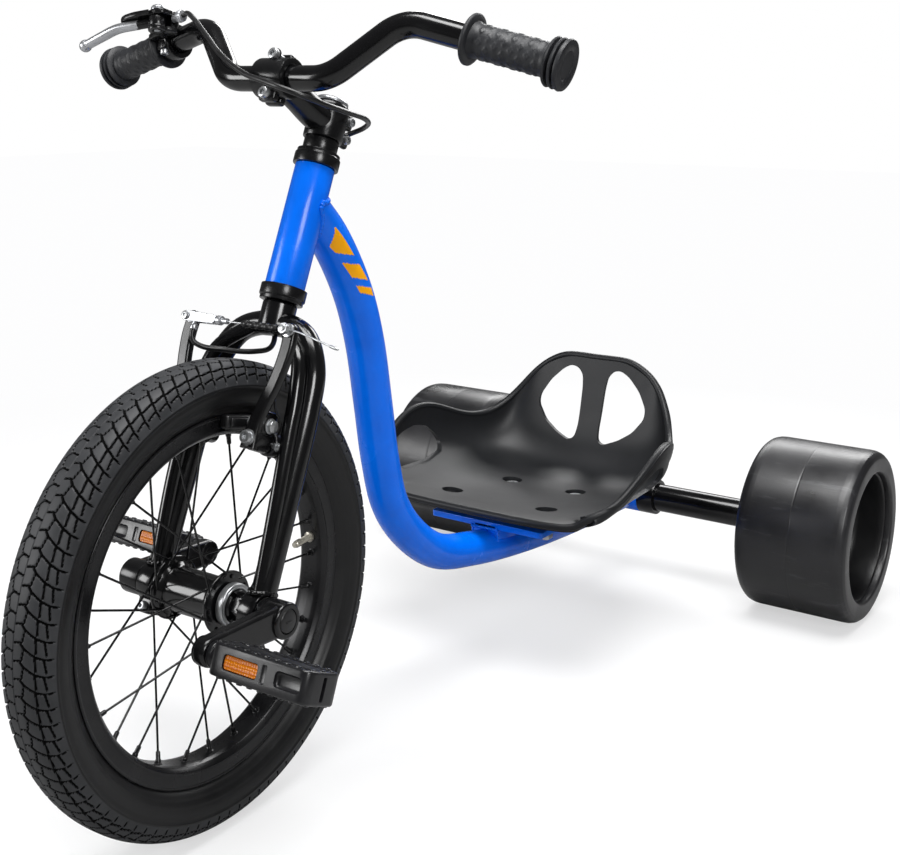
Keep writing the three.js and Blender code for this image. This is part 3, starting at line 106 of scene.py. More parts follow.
def ramp(tree, factor, start, start_colour, end, end_colour):
    made = node(tree, "ValToRGB")
    tree.links.new(factor, made.inputs["Fac"])
    for element, spot, colour in zip(made.color_ramp.elements, (start, end), (start_colour, end_colour)):
        element.position = spot
        element.color = (*colour, 1)
    return made.outputs["Color"]


def spread(tree, factor, low, high, start=0.3, end=0.7):
    made = node(tree, "MapRange", From_Min=start, From_Max=end, To_Min=low, To_Max=high)
    tree.links.new(factor, made.inputs["Value"])
    return made.outputs["Result"]


def raised(tree, shader, height, strength, distance):
    made = node(tree, "Bump", Strength=strength, Distance=distance)
    tree.links.new(height, made.inputs["Height"])
    tree.links.new(made.outputs["Normal"], shader.inputs["Normal"])


def finish(name, dark, light, rough, slot=None, metal=0.0, cloud=18, grain=1400, relief=0.2, depth=0.00008,
           coat=0.0, shine=0.5, scuff=None, scuff_stretch=(1, 1, 1)):
    """A finish whose colour, roughness and relief all vary with noise; scuff adds pale worn streaks."""
    material, tree, shader = tree_of(name)
    clouds = noise(tree, cloud)
    colour = ramp(tree, clouds, 0.3, dark, 0.7, light)
    tuned(shader, Metallic=metal, Coat_Weight=coat, Coat_Roughness=0.06, Specular_IOR_Level=shine)
    roughness = spread(tree, clouds, *rough)
    if scuff:
        streaks = noise(tree, 60, scuff_stretch, 6.0, 0.7)
        mix = node(tree, "Mix")
        mix.data_type = "RGBA"
        factor, first, second = (mix.inputs[k] for k in (0, 6, 7))
        tree.links.new(spread(tree, streaks, 0, 1, 0.57, 0.72), factor)
        tree.links.new(colour, first)
        second.default_value = (*scuff, 1)
        colour = mix.outputs[2]
    tree.links.new(colour, shader.inputs["Base Color"])
    tree.links.new(roughness, shader.inputs["Roughness"])
    raised(tree, shader, noise(tree, grain, detail=3.0), relief, depth)
    return material, slot or name


def amber():
    """A moulded reflector: rows of small prisms under a clear amber face, with a faint painted glow."""
    material, tree, shader = tree_of("amber_reflector")
    cells = node(tree, "TexVoronoi", Scale=420, Randomness=0.15)
    prisms = cells.outputs["Distance"]
    tree.links.new(node(tree, "TexCoord").outputs["Object"], cells.inputs["Vector"])
    colour = ramp(tree, prisms, 0.0, (0.62, 0.2, 0.002), 0.7, (0.34, 0.075, 0.001))
    tree.links.new(colour, shader.inputs["Base Color"])
    tree.links.new(spread(tree, prisms, 0.12, 0.3, 0, 1), shader.inputs["Roughness"])
    # The amber colour also feeds a weak emission: a painted glow standing in for light the prisms send back.
    tree.links.new(colour, shader.inputs["Emission Color"])
    tuned(shader, Specular_IOR_Level=0.25, Emission_Strength=0.12)
    raised(tree, shader, prisms, 0.7, 0.0006)
    return material, "amber_plastic"


BLUE = finish("blue_paint", (0.0, 0.135, 0.80), (0.0, 0.165, 0.92), (0.22, 0.28), cloud=30,
              grain=700, relief=0.06, depth=0.00004, coat=0.15, shine=0.22)
BLACK = finish("black_gloss_paint", (0.0015, 0.0015, 0.0018), (0.003, 0.003, 0.0035), (0.14, 0.2),
               slot="black_paint", cloud=30, grain=700, relief=0.08, depth=0.00005, coat=0.1, shine=0.45)
SEAT = finish("seat_plastic", (0.0085, 0.009, 0.010), (0.012, 0.0125, 0.014), (0.38, 0.45), cloud=14,
              grain=2200, relief=0.2, depth=0.00005, shine=0.26)
DRUM = finish("wheel_plastic", (0.006, 0.006, 0.007), (0.011, 0.011, 0.013), (0.26, 0.42), cloud=16,
              grain=1300, relief=0.35, depth=0.0001, shine=0.6, scuff=(0.06, 0.061, 0.065),
              scuff_stretch=(0.12, 1, 1))
# A darker copy of the wheel plastic for the web and ribs inside the drum: painted shade in the recess.
RECESS_SHADE = finish("wheel_plastic_painted_shade", (0.003, 0.003, 0.0035), (0.005, 0.005, 0.006), (0.35, 0.45),
              slot="wheel_plastic")
TYRE = finish("tyre_rubber", (0.017, 0.018, 0.02), (0.03, 0.031, 0.034), (0.5, 0.62), cloud=40,
              grain=1500, relief=0.35, depth=0.0001, shine=0.4)
# A near-black copy of the tyre rubber for the groove bottoms: painted shade in the tread grooves.
GROOVE_SHADE = finish("tyre_groove_painted_shade", (0.001, 0.001, 0.001), (0.002, 0.002, 0.002), (0.8, 0.9), slot="tyre_rubber",
                shine=0.1)
SIDEWALL = finish("tyre_sidewall", (0.003, 0.003, 0.0035), (0.006, 0.006, 0.0065), (0.36, 0.46),
                  slot="tyre_rubber", cloud=40, grain=1500, relief=0.2, depth=0.00006, shine=0.35)
GRIP = finish("grip_rubber", (0.010, 0.0105, 0.0125), (0.018, 0.019, 0.022), (0.42, 0.55), cloud=60,
              grain=2000, relief=0.3, depth=0.0001, shine=0.4)
RUBBER = finish("soft_rubber", (0.003, 0.003, 0.0035), (0.006, 0.006, 0.0065), (0.3, 0.42), cloud=60)
PEDAL = finish("pedal_plastic", (0.004, 0.004, 0.005), (0.009, 0.009, 0.0105), (0.26, 0.38),
               cloud=50, grain=1800, relief=0.3, depth=0.0001)
ALLOY = finish("black_alloy", (0.003, 0.003, 0.0035), (0.007, 0.007, 0.0075), (0.2, 0.28), metal=0.2,
               cloud=40, grain=1800, relief=0.12, depth=0.00005)
RIM = finish("rim_alloy", (0.006, 0.006, 0.007), (0.012, 0.012, 0.013), (0.22, 0.32), slot="black_alloy",
             metal=0.4, cloud=30, grain=1500, relief=0.15, depth=0.00005)
BRIGHT = finish("bright_alloy", (0.40, 0.41, 0.43), (0.54, 0.55, 0.57), (0.28, 0.38), metal=0.85,
                cloud=50, grain=900, relief=0.03, depth=0.00002)
ZINC = finish("zinc_steel", (0.38, 0.39, 0.40), (0.54, 0.55, 0.56), (0.3, 0.4), metal=0.9, cloud=90,
              grain=900, relief=0.03, depth=0.00002)
STEEL = finish("bearing_steel", (0.36, 0.37, 0.38), (0.52, 0.53, 0.54), (0.25, 0.35), metal=1.0, cloud=70)
BRASS = finish("valve_brass", (0.5, 0.47, 0.4), (0.72, 0.69, 0.6), (0.3, 0.4), metal=0.9, cloud=120)
ORANGE = finish("orange_print", (0.95, 0.40, 0.0), (1.0, 0.44, 0.0), (0.36, 0.42), slot="blue_paint",
                cloud=60, shine=0.2)
AMBER = amber()


# Shapes: each is a pair of vertices and faces, in millimetres

def moved(shape, place):
    """The shape in its place; where that mirrors it, its faces are turned round."""
    flip = place.determinant() < 0
    faces = [tuple(reversed(face)) if flip else tuple(face) for face in shape[1]]
    return [place @ Vector(v) for v in shape[0]], faces


def joined(*shapes):
    verts, faces = [], []
    for more, its_faces in shapes:
        start = len(verts)
        verts += [Vector(v) for v in more]
        faces += [tuple(i + start for i in face) for face in its_faces]
    return verts, faces


def loft(rings, closed=False):
    """Skins rings of equal count; closed joins the last ring to the first."""
    count = len(rings[0])
    verts = [Vector(v) for ring in rings for v in ring]
    faces = []
    spans = len(rings) if closed else len(rings) - 1
    for i in range(spans):
        a, b = i * count, (i + 1) % len(rings) * count
        faces += [(a + k, a + (k + 1) % count, b + (k + 1) % count, b + k) for k in range(count)]
    if not closed:
        faces.append(tuple(reversed(range(count))))
        faces.append(tuple(range((len(rings) - 1) * count, len(rings) * count)))
    return verts, faces


def disc(radius, x=0, y=0, sides=32):
    angles = [k * FULL / sides for k in range(sides)]
    return [(x + radius * math.cos(a), y + radius * math.sin(a)) for a in angles]


def circle(radius, z, sides):
    return [Vector((x, y, z)) for x, y in disc(radius, sides=sides)]


def hexagon(flat, z):
    """A ring that follows a hexagon; flat is half its width across flats."""
    ring = []
    sides = 36
    for k in range(sides):
        angle = k * FULL / sides
        local = (angle + math.pi / 6) % (math.pi / 3) - math.pi / 6
        r = flat / math.cos(local)
        ring.append(Vector((r * math.cos(angle), r * math.sin(angle), z)))
    return ring


def eased(points, radius, steps=3, closed=False):
    """The same line with its corners rounded, where there is room."""
    points = [Vector(p) for p in points]
    made = []
    count = len(points)
    for i, point in enumerate(points):
        if not closed and i in (0, count - 1):
            made.append(point)
            continue
        before, after = points[i - 1] - point, points[(i + 1) % count] - point
        reach = min(radius, 0.45 * before.length, 0.45 * after.length)
        a, b = point + before.normalized() * reach, point + after.normalized() * reach
        made += [a * (1 - t) ** 2 + point * 2 * t * (1 - t) + b * t * t
                 for t in (k / steps for k in range(steps + 1))]
    return made


def turned(profile, sides=64, edge=0.5, closed=False):
    """Revolves (radius, z) pairs about Z. A closed profile makes a ring; an open one is capped."""
    line = [Vector((r, z, 0)) for r, z in profile]
    if edge:
        line = eased(line, edge, 2, closed)
    rings = [circle(max(p.x, 0.01), p.y, sides) for p in line]
    return loft(rings, closed)


def hoop(profile, sides, edge):
    """A ring about Z whose section is the profile."""
    return turned(profile, sides, edge, closed=True)


def sleeve(inner, outer, start, end, sides, edge):
    """A plain hollow cylinder about Z."""
    return hoop([(inner, start), (outer, start), (outer, end), (inner, end)], sides, edge)


def curve_at(points, spot):
    """A place on a smooth curve through the points; spot counts them, and a part of one lies between two."""
    i = min(int(spot), len(points) - 2)
    p0 = points[i - 1] if i else 2 * points[0] - points[1]
    p3 = points[i + 2] if i + 2 < len(points) else 2 * points[-1] - points[-2]
    p1, p2 = points[i], points[i + 1]
    d0, d1, d2 = (max((b - a).length, 1e-6) ** 0.5 for a, b in ((p0, p1), (p1, p2), (p2, p3)))
    m1 = ((p1 - p0) / d0 - (p2 - p0) / (d0 + d1) + (p2 - p1) / d1) * d1
    m2 = ((p2 - p1) / d1 - (p3 - p1) / (d1 + d2) + (p3 - p2) / d2) * d1
    t = spot - i
    return (p1 * (2 * t ** 3 - 3 * t * t + 1) + m1 * (t ** 3 - 2 * t * t + t) + p2 * (3 * t * t - 2 * t ** 3)
            + m2 * (t ** 3 - t * t))


def threaded(rows, count):
    """Points on the smooth curve through the rows, with as many between each two rows."""
    points = [Vector(r) for r in rows]
    return [curve_at(points, k * (len(points) - 1) / count) for k in range(count + 1)]


def flowing(rows, count):
    """Evenly spaced points on the smooth curve through the rows."""
    return spaced(threaded(rows, 24 * (len(rows) - 1)), count)


def spaced(line, count):
    """Evenly spaced points on a line of straight runs."""
    runs = [0.0]
    for a, b in zip(line, line[1:]):
        runs.append(runs[-1] + (b - a).length)
    made = []
    for target in np.linspace(0, runs[-1], count + 1):
        i = min(max(int(np.searchsorted(runs, target)), 1), len(line) - 1)
        share = (target - runs[i - 1]) / max(runs[i] - runs[i - 1], 1e-9)
        made.append(line[i - 1].lerp(line[i], share))
    return made


def bent(corners, radius, steps=10):
    """Straight runs with an arc of one radius at each corner."""
    corners = [Vector(c) for c in corners]
    line = [corners[0]]
    for before, corner, after in zip(corners, corners[1:], corners[2:]):
        a, b = (before - corner).normalized(), (after - corner).normalized()
        half = a.angle(b) / 2
        setback = radius / math.tan(half)
        centre = corner + (a + b).normalized() * radius / math.sin(half)
        start, end = corner + a * setback - centre, corner + b * setback - centre
        sweep = start.angle(end)
        for k in range(steps + 1):
            t = k / steps
            line.append(centre
                        + (start * math.sin((1 - t) * sweep) + end * math.sin(t * sweep)) / math.sin(sweep))
    return [*line, corners[-1]]


def frames(line):
    """A steady pair of cross axes at each point of a line."""
    steps = [(b - a).normalized() for a, b in zip(line, line[1:])]
    normal = Vector((0, 0, 1)) if abs(steps[0].z) < 0.9 else Vector((0, 1, 0))
    made = []
    for i, point in enumerate(line):
        tangent = (steps[max(i - 1, 0)] + steps[min(i, len(steps) - 1)]).normalized()
        normal = (normal - tangent * normal.dot(tangent)).normalized()
        made.append((point, tangent, normal, tangent.cross(normal)))
    return made


def swept(line, radius, sides=24):
    """A round bar along a line; radius is a number or a function of the share along it and the angle."""
    rings = []
    for i, (point, _, n, b) in enumerate(frames(line)):
        ring = []
        for k in range(sides):
            angle = k * FULL / sides
            r = radius(i / (len(line) - 1), angle) if callable(radius) else radius
            ring.append(point + n * r * math.cos(angle) + b * r * math.sin(angle))
        rings.append(ring)
    return loft(rings)


def looped(line, radius, sides=10):
    """A round bar round a closed line."""
    rings = []
    count = len(line)
    centre = sum(line, Vector()) / count
    for i, point in enumerate(line):
        tangent = (line[(i + 1) % count] - line[i - 1]).normalized()
        n = (point - centre).normalized()
        n = (n - tangent * n.dot(tangent)).normalized()
        b = tangent.cross(n)
        r = radius(i / count) if callable(radius) else radius
        rings.append([point + n * r * math.cos(k * FULL / sides) + b * r * math.sin(k * FULL / sides)
                      for k in range(sides)])
    return loft(rings, closed=True)


def aim(start, end):
    """A place at the start whose Z points to the end."""
    way = Vector(end) - Vector(start)
    return shift(*start) @ way.to_track_quat("Z", "Y").to_matrix().to_4x4()


def rod(start, end, radius, sides=32, edge=0.5):
    length = (Vector(end) - Vector(start)).length
    profile = [(0, 0), (radius, 0), (radius, length), (0, length)]
    return moved(turned(profile, sides, edge), aim(start, end))


def block(size, place=(0, 0, 0), edge=1.0, steps=3):
    mesh = bmesh.new()
    bmesh.ops.create_cube(mesh, size=1)
    bmesh.ops.scale(mesh, vec=size, verts=mesh.verts)
    bmesh.ops.bevel(mesh, geom=mesh.edges, offset=min(edge, 0.45 * min(size)), segments=steps, profile=0.5,
                    affect="EDGES")
    mesh.verts.index_update()
    verts = [v.co + Vector(place) for v in mesh.verts]
    faces = [tuple(v.index for v in face.verts) for face in mesh.faces]
    mesh.free()
    return verts, faces


def rounded(points, radius, steps=4):
    return [(p.x, p.y) for p in eased([(x, y, 0) for x, y in points], radius, steps, closed=True)]


def rectangle(width, height, corner):
    x, y = width / 2, height / 2
    return rounded([(x, y), (-x, y), (-x, -y), (x, -y)], corner)


def arm_outline(length, big, small):
    """Two round ends, one at the origin and one at the length along X, with straight sides between them."""
    steps = 14
    tilt = math.acos((big - small) / length)
    first = [(big * math.cos(a), big * math.sin(a)) for a in np.linspace(tilt, FULL - tilt, 2 * steps)]
    return first + [(length + small * math.cos(a), small * math.sin(a))
                    for a in np.linspace(-tilt, tilt, steps)]


def plate(outline, thickness, edge=0.6, holes=(), steps=3):
    """A flat outline with holes, raised about its own plane and with rounded edges."""
    curve = bpy.data.curves.new("outline", "CURVE")
    curve.dimensions = "2D"
    curve.fill_mode = "BOTH"
    for ring in (outline, *holes):
        spline = curve.splines.new("POLY")
        spline.points.add(len(ring) - 1)
        for point, (x, y) in zip(spline.points, ring):
            point.co = (x, y, 0, 1)
        spline.use_cyclic_u = True
    curve.extrude = thickness / 2 - edge
    curve.bevel_depth = edge
    curve.bevel_resolution = steps - 1
    curve.offset = -edge
    helper = bpy.data.objects.new("outline", curve)
    mesh = bpy.data.meshes.new_from_object(helper)
    shape = [v.co.copy() for v in mesh.vertices], [tuple(p.vertices) for p in mesh.polygons]
    bpy.data.objects.remove(helper)
    bpy.data.curves.remove(curve)
    bpy.data.meshes.remove(mesh)
    return shape


def socket_bolt(radius, height, key):
    """A screw head with a hexagon socket, standing on Z 0."""
    rings = [circle(radius * r, height * z, 36) for r, z in ((1, 0), (1, 0.7), (0.93, 0.92), (0.8, 1))]
    return loft(rings + [hexagon(key, height), hexagon(key * 0.96, height * 0.35)])


def hex_nut(flat, height, bore=0.0):
    rings = [hexagon(flat * 0.96, 0), hexagon(flat, height * 0.08), hexagon(flat, height * 0.9)]
    rings.append(circle(flat * 0.97, height, 36))
    if bore:
        rings += [circle(bore, height, 36), circle(bore, height * 0.4, 36)]
    return loft(rings)


def metres(shape, place=Matrix()):
    """The shape in its place, in metres from here on."""
    return moved(shape, Matrix.Scale(MM, 4) @ place)


def piece(name, shape, body, look, place=Matrix(), *cad_nodes, smooth=38, weld=False):
    """One named mesh in metres that rides on a body, or on none."""
    mesh = bpy.data.meshes.new(name)
    verts, faces = metres(shape, place)
    mesh.from_pydata(verts, [], faces)
    if weld:
        work = bmesh.new()
        work.from_mesh(mesh)
        bmesh.ops.remove_doubles(work, verts=work.verts, dist=0.01 * MM)
        bmesh.ops.recalc_face_normals(work, faces=work.faces)
        work.to_mesh(mesh)
        work.free()
    mesh.validate()
    mesh.shade_smooth()
    mesh.set_sharp_from_angle(angle=math.radians(smooth))
    made = bpy.data.objects.new(name, mesh)
    bpy.context.scene.collection.objects.link(made)
    mesh.materials.append(look[0])
    if body:
        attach(made, body)
    if cad_nodes:
        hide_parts(*cad_nodes)
    return made


def carved(body_object, *cutters, edge=0.0, steps=2):
    """Cuts shapes (in metres) out of a piece and rounds the new edges."""
    for i, cutter in enumerate(cutters):
        mesh = bpy.data.meshes.new("cutter")
        mesh.from_pydata([tuple(v) for v in cutter[0]], [], cutter[1])
        helper = bpy.data.objects.new("cutter", mesh)
        bpy.context.scene.collection.objects.link(helper)
        cut = body_object.modifiers.new(f"cut{i}", "BOOLEAN")
        cut.operation, cut.solver, cut.object = "DIFFERENCE", "EXACT", helper
    bpy.context.view_layer.update()
    graph = bpy.context.evaluated_depsgraph_get()
    mesh = bpy.data.meshes.new_from_object(body_object.evaluated_get(graph))
    helpers = [m.object for m in body_object.modifiers]
    body_object.modifiers.clear()
    for helper in helpers:
        bpy.data.objects.remove(helper)
    body_object.data = mesh
    if edge:
        soften = body_object.modifiers.new("edges", "BEVEL")
        soften.width, soften.segments, soften.limit_method = edge * MM, steps, "ANGLE"
        soften.angle_limit = math.radians(45)
    mesh.shade_smooth()
    mesh.set_sharp_from_angle(angle=math.radians(38))
    return body_object


# Frame: its points are measured from under the front axle

MAIN_TUBE = [(0, 140, 528), (0, 172, 496), (0, 205, 445), (0, 224, 395), (0, 238, 330), (0, 250, 270),
             (0, 266, 222), (0, 298, 183), (0, 350, 148), (0, 420, 131), (0, 520, 117), (0, 640, 108),
             (0, 790, 104)]
TUBE_RADIUS = 19.05
HEAD = shift(0, 0, TYRE_RADIUS) @ spin(TRAIL)


def head_weld():
    """The bead where the main tube meets the head tube, rippled like a laid weld."""
    into = HEAD.inverted()
    way = (into.to_3x3() @ (Vector(MAIN_TUBE[0]) - Vector(MAIN_TUBE[1]))).normalized()
    start = into @ Vector(MAIN_TUBE[1])
    side = Vector((1, 0, 0))
    other = way.cross(side)
    bore_edge = 18.2
    line = []
    points = 160
    for angle in (k * FULL / points for k in range(points)):
        foot = start + (side * math.cos(angle) + other * math.sin(angle)) * (TUBE_RADIUS - 0.6)
        a = way.x ** 2 + way.y ** 2
        b = 2 * (foot.x * way.x + foot.y * way.y)
        c = foot.x ** 2 + foot.y ** 2 - bore_edge ** 2
        reach = (-b - math.sqrt(max(b * b - 4 * a * c, 0))) / (2 * a)
        line.append(foot + way * reach)
    return looped(line, lambda t: 2.4 + 0.35 * math.sin(44 * FULL * t), 12)


def build_frame():
    seat_bar_y = 468.5
    sleeve_bore, sleeve_radius = 17.8, 22.5
    tube = swept(flowing(MAIN_TUBE, 150), TUBE_RADIUS, 56)
    shell = [(15.1, 276), (18, 276), (18, 388), (15.1, 388)]
    head = moved(hoop(shell, 72, 0.7), HEAD)
    front = moved(plate(rectangle(144, 43, 5), 7, 0.8, [disc(4, s * 62, 6.5) for s in (1, -1)]),
                  shift(0, seat_bar_y, 151.5))
    saddle = block((32, 43, 34), (0, seat_bar_y, 137), 3)
    rear = moved(plate(rectangle(25, 25, 3), 112, 0.5, [rectangle(20, 20, 2)]),
                 shift(0, 577, 138.5) @ ALONG_X)
    axle_sleeve = moved(sleeve(sleeve_bore, sleeve_radius, -24, 24, 72, 0.8),
                        CHASSIS.inverted() @ REAR @ ALONG_X)
    beads = [swept([Vector((s * 16, 448, z)) for z in np.linspace(124, 147, 24)],
                   lambda t, a: 1.7 + 0.3 * math.sin(40 * t), 10) for s in (1, -1)]
    beads += [swept([Vector((x, 446.5, 147.5)) for x in np.linspace(-17, 17, 40)],
                    lambda t, a: 1.9 + 0.35 * math.sin(60 * t), 10)]
    shape = joined(tube, head, front, saddle, rear, axle_sleeve, moved(head_weld(), HEAD), *beads)
    piece("frame_weldment", shape, "frame_body", BLUE, CHASSIS, "frame")
    collar = sleeve(sleeve_bore, sleeve_radius, 24.3, 46, 72, 0.8)
    collars = [moved(collar, place @ ALONG_X) for _, place in SIDES]
    piece("axle_collars", joined(*collars), "frame_body", BLACK, REAR)
    for name, flat, rim_end, skirt in (("lower_cup", 275.7, 262, 286), ("upper_cup", 388.3, 402, 378)):
        step = 1 if flat > rim_end else -1
        lip = [(13.3, rim_end), (19.6, rim_end), (19.6, rim_end + 3 * step), (20.8, rim_end + 4 * step),
               (20.8, flat), (14.8, flat), (14.8, skirt), (13.3, skirt)]
        piece(name, hoop(lip, 72, 0.6), "frame_body", ALLOY, CHASSIS @ HEAD,
              name.replace("cup", "headset_cup"), weld=True)


build_frame()


# Seat: the same middle line and rim as the CAD shell, on a finer grid

SEAT_MIDDLE = [(-385, 179), (-365, 177), (-330, 173), (-290, 169), (-250, 166), (-210, 164), (-175, 164.5),
               (-148, 171), (-128, 189), (-114, 219), (-104, 257), (-97, 288), (-94, 302)]
SEAT_RIM = [(134, -369, 181), (150, -350, 195), (158, -320, 216), (162, -285, 236), (161, -252, 247),
            (154, -222, 243), (141, -192, 229), (127, -162, 222), (114, -137, 229), (103, -118, 245),
            (92, -107, 263), (78, -98, 284), (61, -95, 296), (42, -94, 302)]
BACK_OPENING = [(15, 262), (17, 277), (24, 285), (34, 287), (46, 281), (62, 265), (73, 246), (73, 234),
                (60, 216), (42, 204), (24, 196.5), (16, 201), (14, 214)]
SIDE_OPENING = [(-330, 190), (-326, 200), (-312, 210), (-288, 219), (-262, 223), (-242, 219), (-231, 208),
                (-228, 197), (-236, 189), (-268, 185), (-316, 185)]
SEAT_BOLTS = [(62, -325, 155.3, 171), (43, -223, 151.3, 163)]


def around(rows, columns):
    """The grid's border, once round."""
    edge = [(i, 0) for i in range(rows)] + [(rows, j) for j in range(columns)]
    return edge + [(i, columns) for i in range(rows, 0, -1)] + [(0, j) for j in range(columns, 0, -1)]


def softened(grid):
    """The grid with its outline's corners rounded, and what lies near them drawn along."""
    spread_mm, reach_mm = 13.0, 26.0
    edge = around(grid.shape[0] - 1, grid.shape[1] - 1)
    line = np.array([grid[i, j] for i, j in edge])
    step = np.linalg.norm(np.roll(line, -1, axis=0) - line, axis=1)
    place = np.concatenate([[0], np.cumsum(step)])
    total = place[-1]
    even = np.arange(0, total, 1.0)
    closed = np.vstack([line, line[:1]])
    fine = np.stack([np.interp(even, place, closed[:, k]) for k in range(3)], axis=1)
    moves = []
    for s in place[:-1]:
        gap = np.abs(even - s)
        weight = np.exp(-0.5 * (np.minimum(gap, total - gap) / spread_mm) ** 2)
        moves.append((fine * weight[:, None]).sum(axis=0) / weight.sum())
    moves = np.array(moves) - line
    flat = grid.reshape(-1, 3)
    distance = np.linalg.norm(flat[:, None] - line[None], axis=2)
    nearest = distance.argmin(axis=1)
    share = np.exp(-(distance.min(axis=1) / reach_mm) ** 2)
    return (flat + moves[nearest] * share[:, None]).reshape(grid.shape)


def seat_grid(rows, columns):
    """Points of the rider's side and of the underside, with a rolled rim between them."""
    middle = threaded([(0, y, z) for y, z in SEAT_MIDDLE], rows)
    rim = threaded(SEAT_RIM, rows)
    grid = np.zeros((rows + 1, columns + 1, 3))
    for i in range(rows + 1):
        for j in range(columns + 1):
            v = 2 * j / columns - 1
            turn = abs(v) * QUARTER
            across = math.sin(turn) ** (2 / 3)
            rise = 1 - math.cos(turn) ** (2 / 3)
            y = middle[i].y + (rim[i].y - middle[i].y) * rise
            z = middle[i].z + (rim[i].z - middle[i].z) * rise
            grid[i, j] = (math.copysign(rim[i].x * across, v) if v else 0, y, z)
    grid = softened(grid)
    normal = np.cross(np.gradient(grid, axis=1), np.gradient(grid, axis=0))
    blurs = 8
    for _ in range(blurs):
        wide = np.pad(normal, ((1, 1), (1, 1), (0, 0)), mode="edge")
        normal = (wide[1:-1, 1:-1] * 2 + wide[:-2, 1:-1] + wide[2:, 1:-1] + wide[1:-1, :-2]
                  + wide[1:-1, 2:]) / 6
    normal /= np.linalg.norm(normal, axis=2, keepdims=True) + 1e-9
    return grid, normal


def build_seat():
    rows, columns = 110, 84
    top, normal = seat_grid(rows, columns)
    count = (rows + 1) * (columns + 1)
    near_edge = np.minimum.outer(np.minimum(np.arange(rows + 1), rows - np.arange(rows + 1)),
                                 np.minimum(np.arange(columns + 1), columns - np.arange(columns + 1)))
    shell, rolled = 4.5, 3.5
    wall = shell + rolled * np.clip(1 - near_edge / 4, 0, 1)
    under = top - normal * wall[..., None]
    verts = [Vector(p) for p in top.reshape(-1, 3)] + [Vector(p) for p in under.reshape(-1, 3)]
    faces = []
    at = lambda i, j: i * (columns + 1) + j
    for i in range(rows):
        for j in range(columns):
            faces.append((at(i, j), at(i, j + 1), at(i + 1, j + 1), at(i + 1, j)))
            faces.append(tuple(count + k for k in (at(i, j), at(i + 1, j), at(i + 1, j + 1), at(i, j + 1))))
        for j, flip in ((0, False), (columns, True)):
            side = (at(i, j), at(i + 1, j), count + at(i + 1, j), count + at(i, j))
            faces.append(side[::-1] if flip else side)
    for j in range(columns):
        faces.append((at(0, j + 1), at(0, j), count + at(0, j), count + at(0, j + 1)))
        faces.append((at(rows, j), at(rows, j + 1), count + at(rows, j + 1), count + at(rows, j)))
    seat = piece("seat_shell", (verts, faces), "frame_body", SEAT, SEAT_PLACE, "seat")
    middle = (top + under) / 2
    inset, bead_radius = 2.4, 4.2
    bead = []
    for i, j in around(rows, columns):
        edge, inner = middle[i, j], middle[min(max(i, 1), rows - 1), min(max(j, 1), columns - 1)]
        bead.append(Vector(edge) + Vector(inner - edge).normalized() * inset)
    bead = spaced(bead + bead[:1], 300)[:-1]
    for _ in range(10):
        bead = [(bead[k - 1] + bead[k] * 2 + bead[(k + 1) % len(bead)]) / 4 for k in range(len(bead))]
    piece("seat_rim", looped(bead, bead_radius, 20), "frame_body", SEAT, SEAT_PLACE, smooth=80)
    cutters = []
    for sign in (1, -1):
        back = plate(rounded([(sign * x, z) for x, z in BACK_OPENING], 6, 5), 105, 0.01)
        cutters.append(metres(back, SEAT_PLACE @ shift(0, -92.5, 0) @ spin(QUARTER)))
        wing = plate(rounded(SIDE_OPENING, 5, 4), 70, 0.01)
        sideways = spin(QUARTER, "Z") @ spin(QUARTER)
        cutters.append(metres(wing, SEAT_PLACE @ shift(sign * 150, 0, 0) @ sideways))
        for x, y, low, _ in SEAT_BOLTS:
            hole = turned([(0, 0), (11.5, 0), (12, 2), (12.6, 20), (0, 20)], 48, 1.2)
            cutters.append(metres(hole, SEAT_PLACE @ shift(sign * x, y, low + 5)))
    carved(seat, *cutters, edge=1.6, steps=3)
    bosses = []
    for _, place in SIDES:
        for x, y, low, pan in SEAT_BOLTS:
            boss = [(4.1, low), (15.5, low), (15.5, pan - 3.6), (12.2, pan - 3.4), (12.2, low + 5),
                    (4.1, low + 5)]
            bosses.append(moved(hoop(boss, 48, 0.7), SEAT_PLACE @ place @ shift(x, y, 0)))
    piece("seat_bosses", joined(*bosses), "frame_body", SEAT)
    for side, place in SIDES:
        for (x, y, low, _), name, tail in zip(SEAT_BOLTS, ("front", "rear"), (141, 119)):
            foot = low + 5.3
            parts = [moved(sleeve(4.3, 11, 0, 1.4, 48, 0.4), shift(x, y, foot)),
                     moved(socket_bolt(8, 4, 3), shift(x, y, foot + 1.2)),
                     rod((x, y, tail - 2), (x, y, foot), 3.8),
                     moved(hex_nut(6.5, 5.5), shift(x, y, tail + 5.5) @ spin(math.pi))]
            piece(f"{side}_{name}_seat_screw", joined(*parts), "frame_body", ZINC, SEAT_PLACE @ place,
                  f"{side}_{name}_seat_bolt")


build_seat()


# Rear axle and wheels

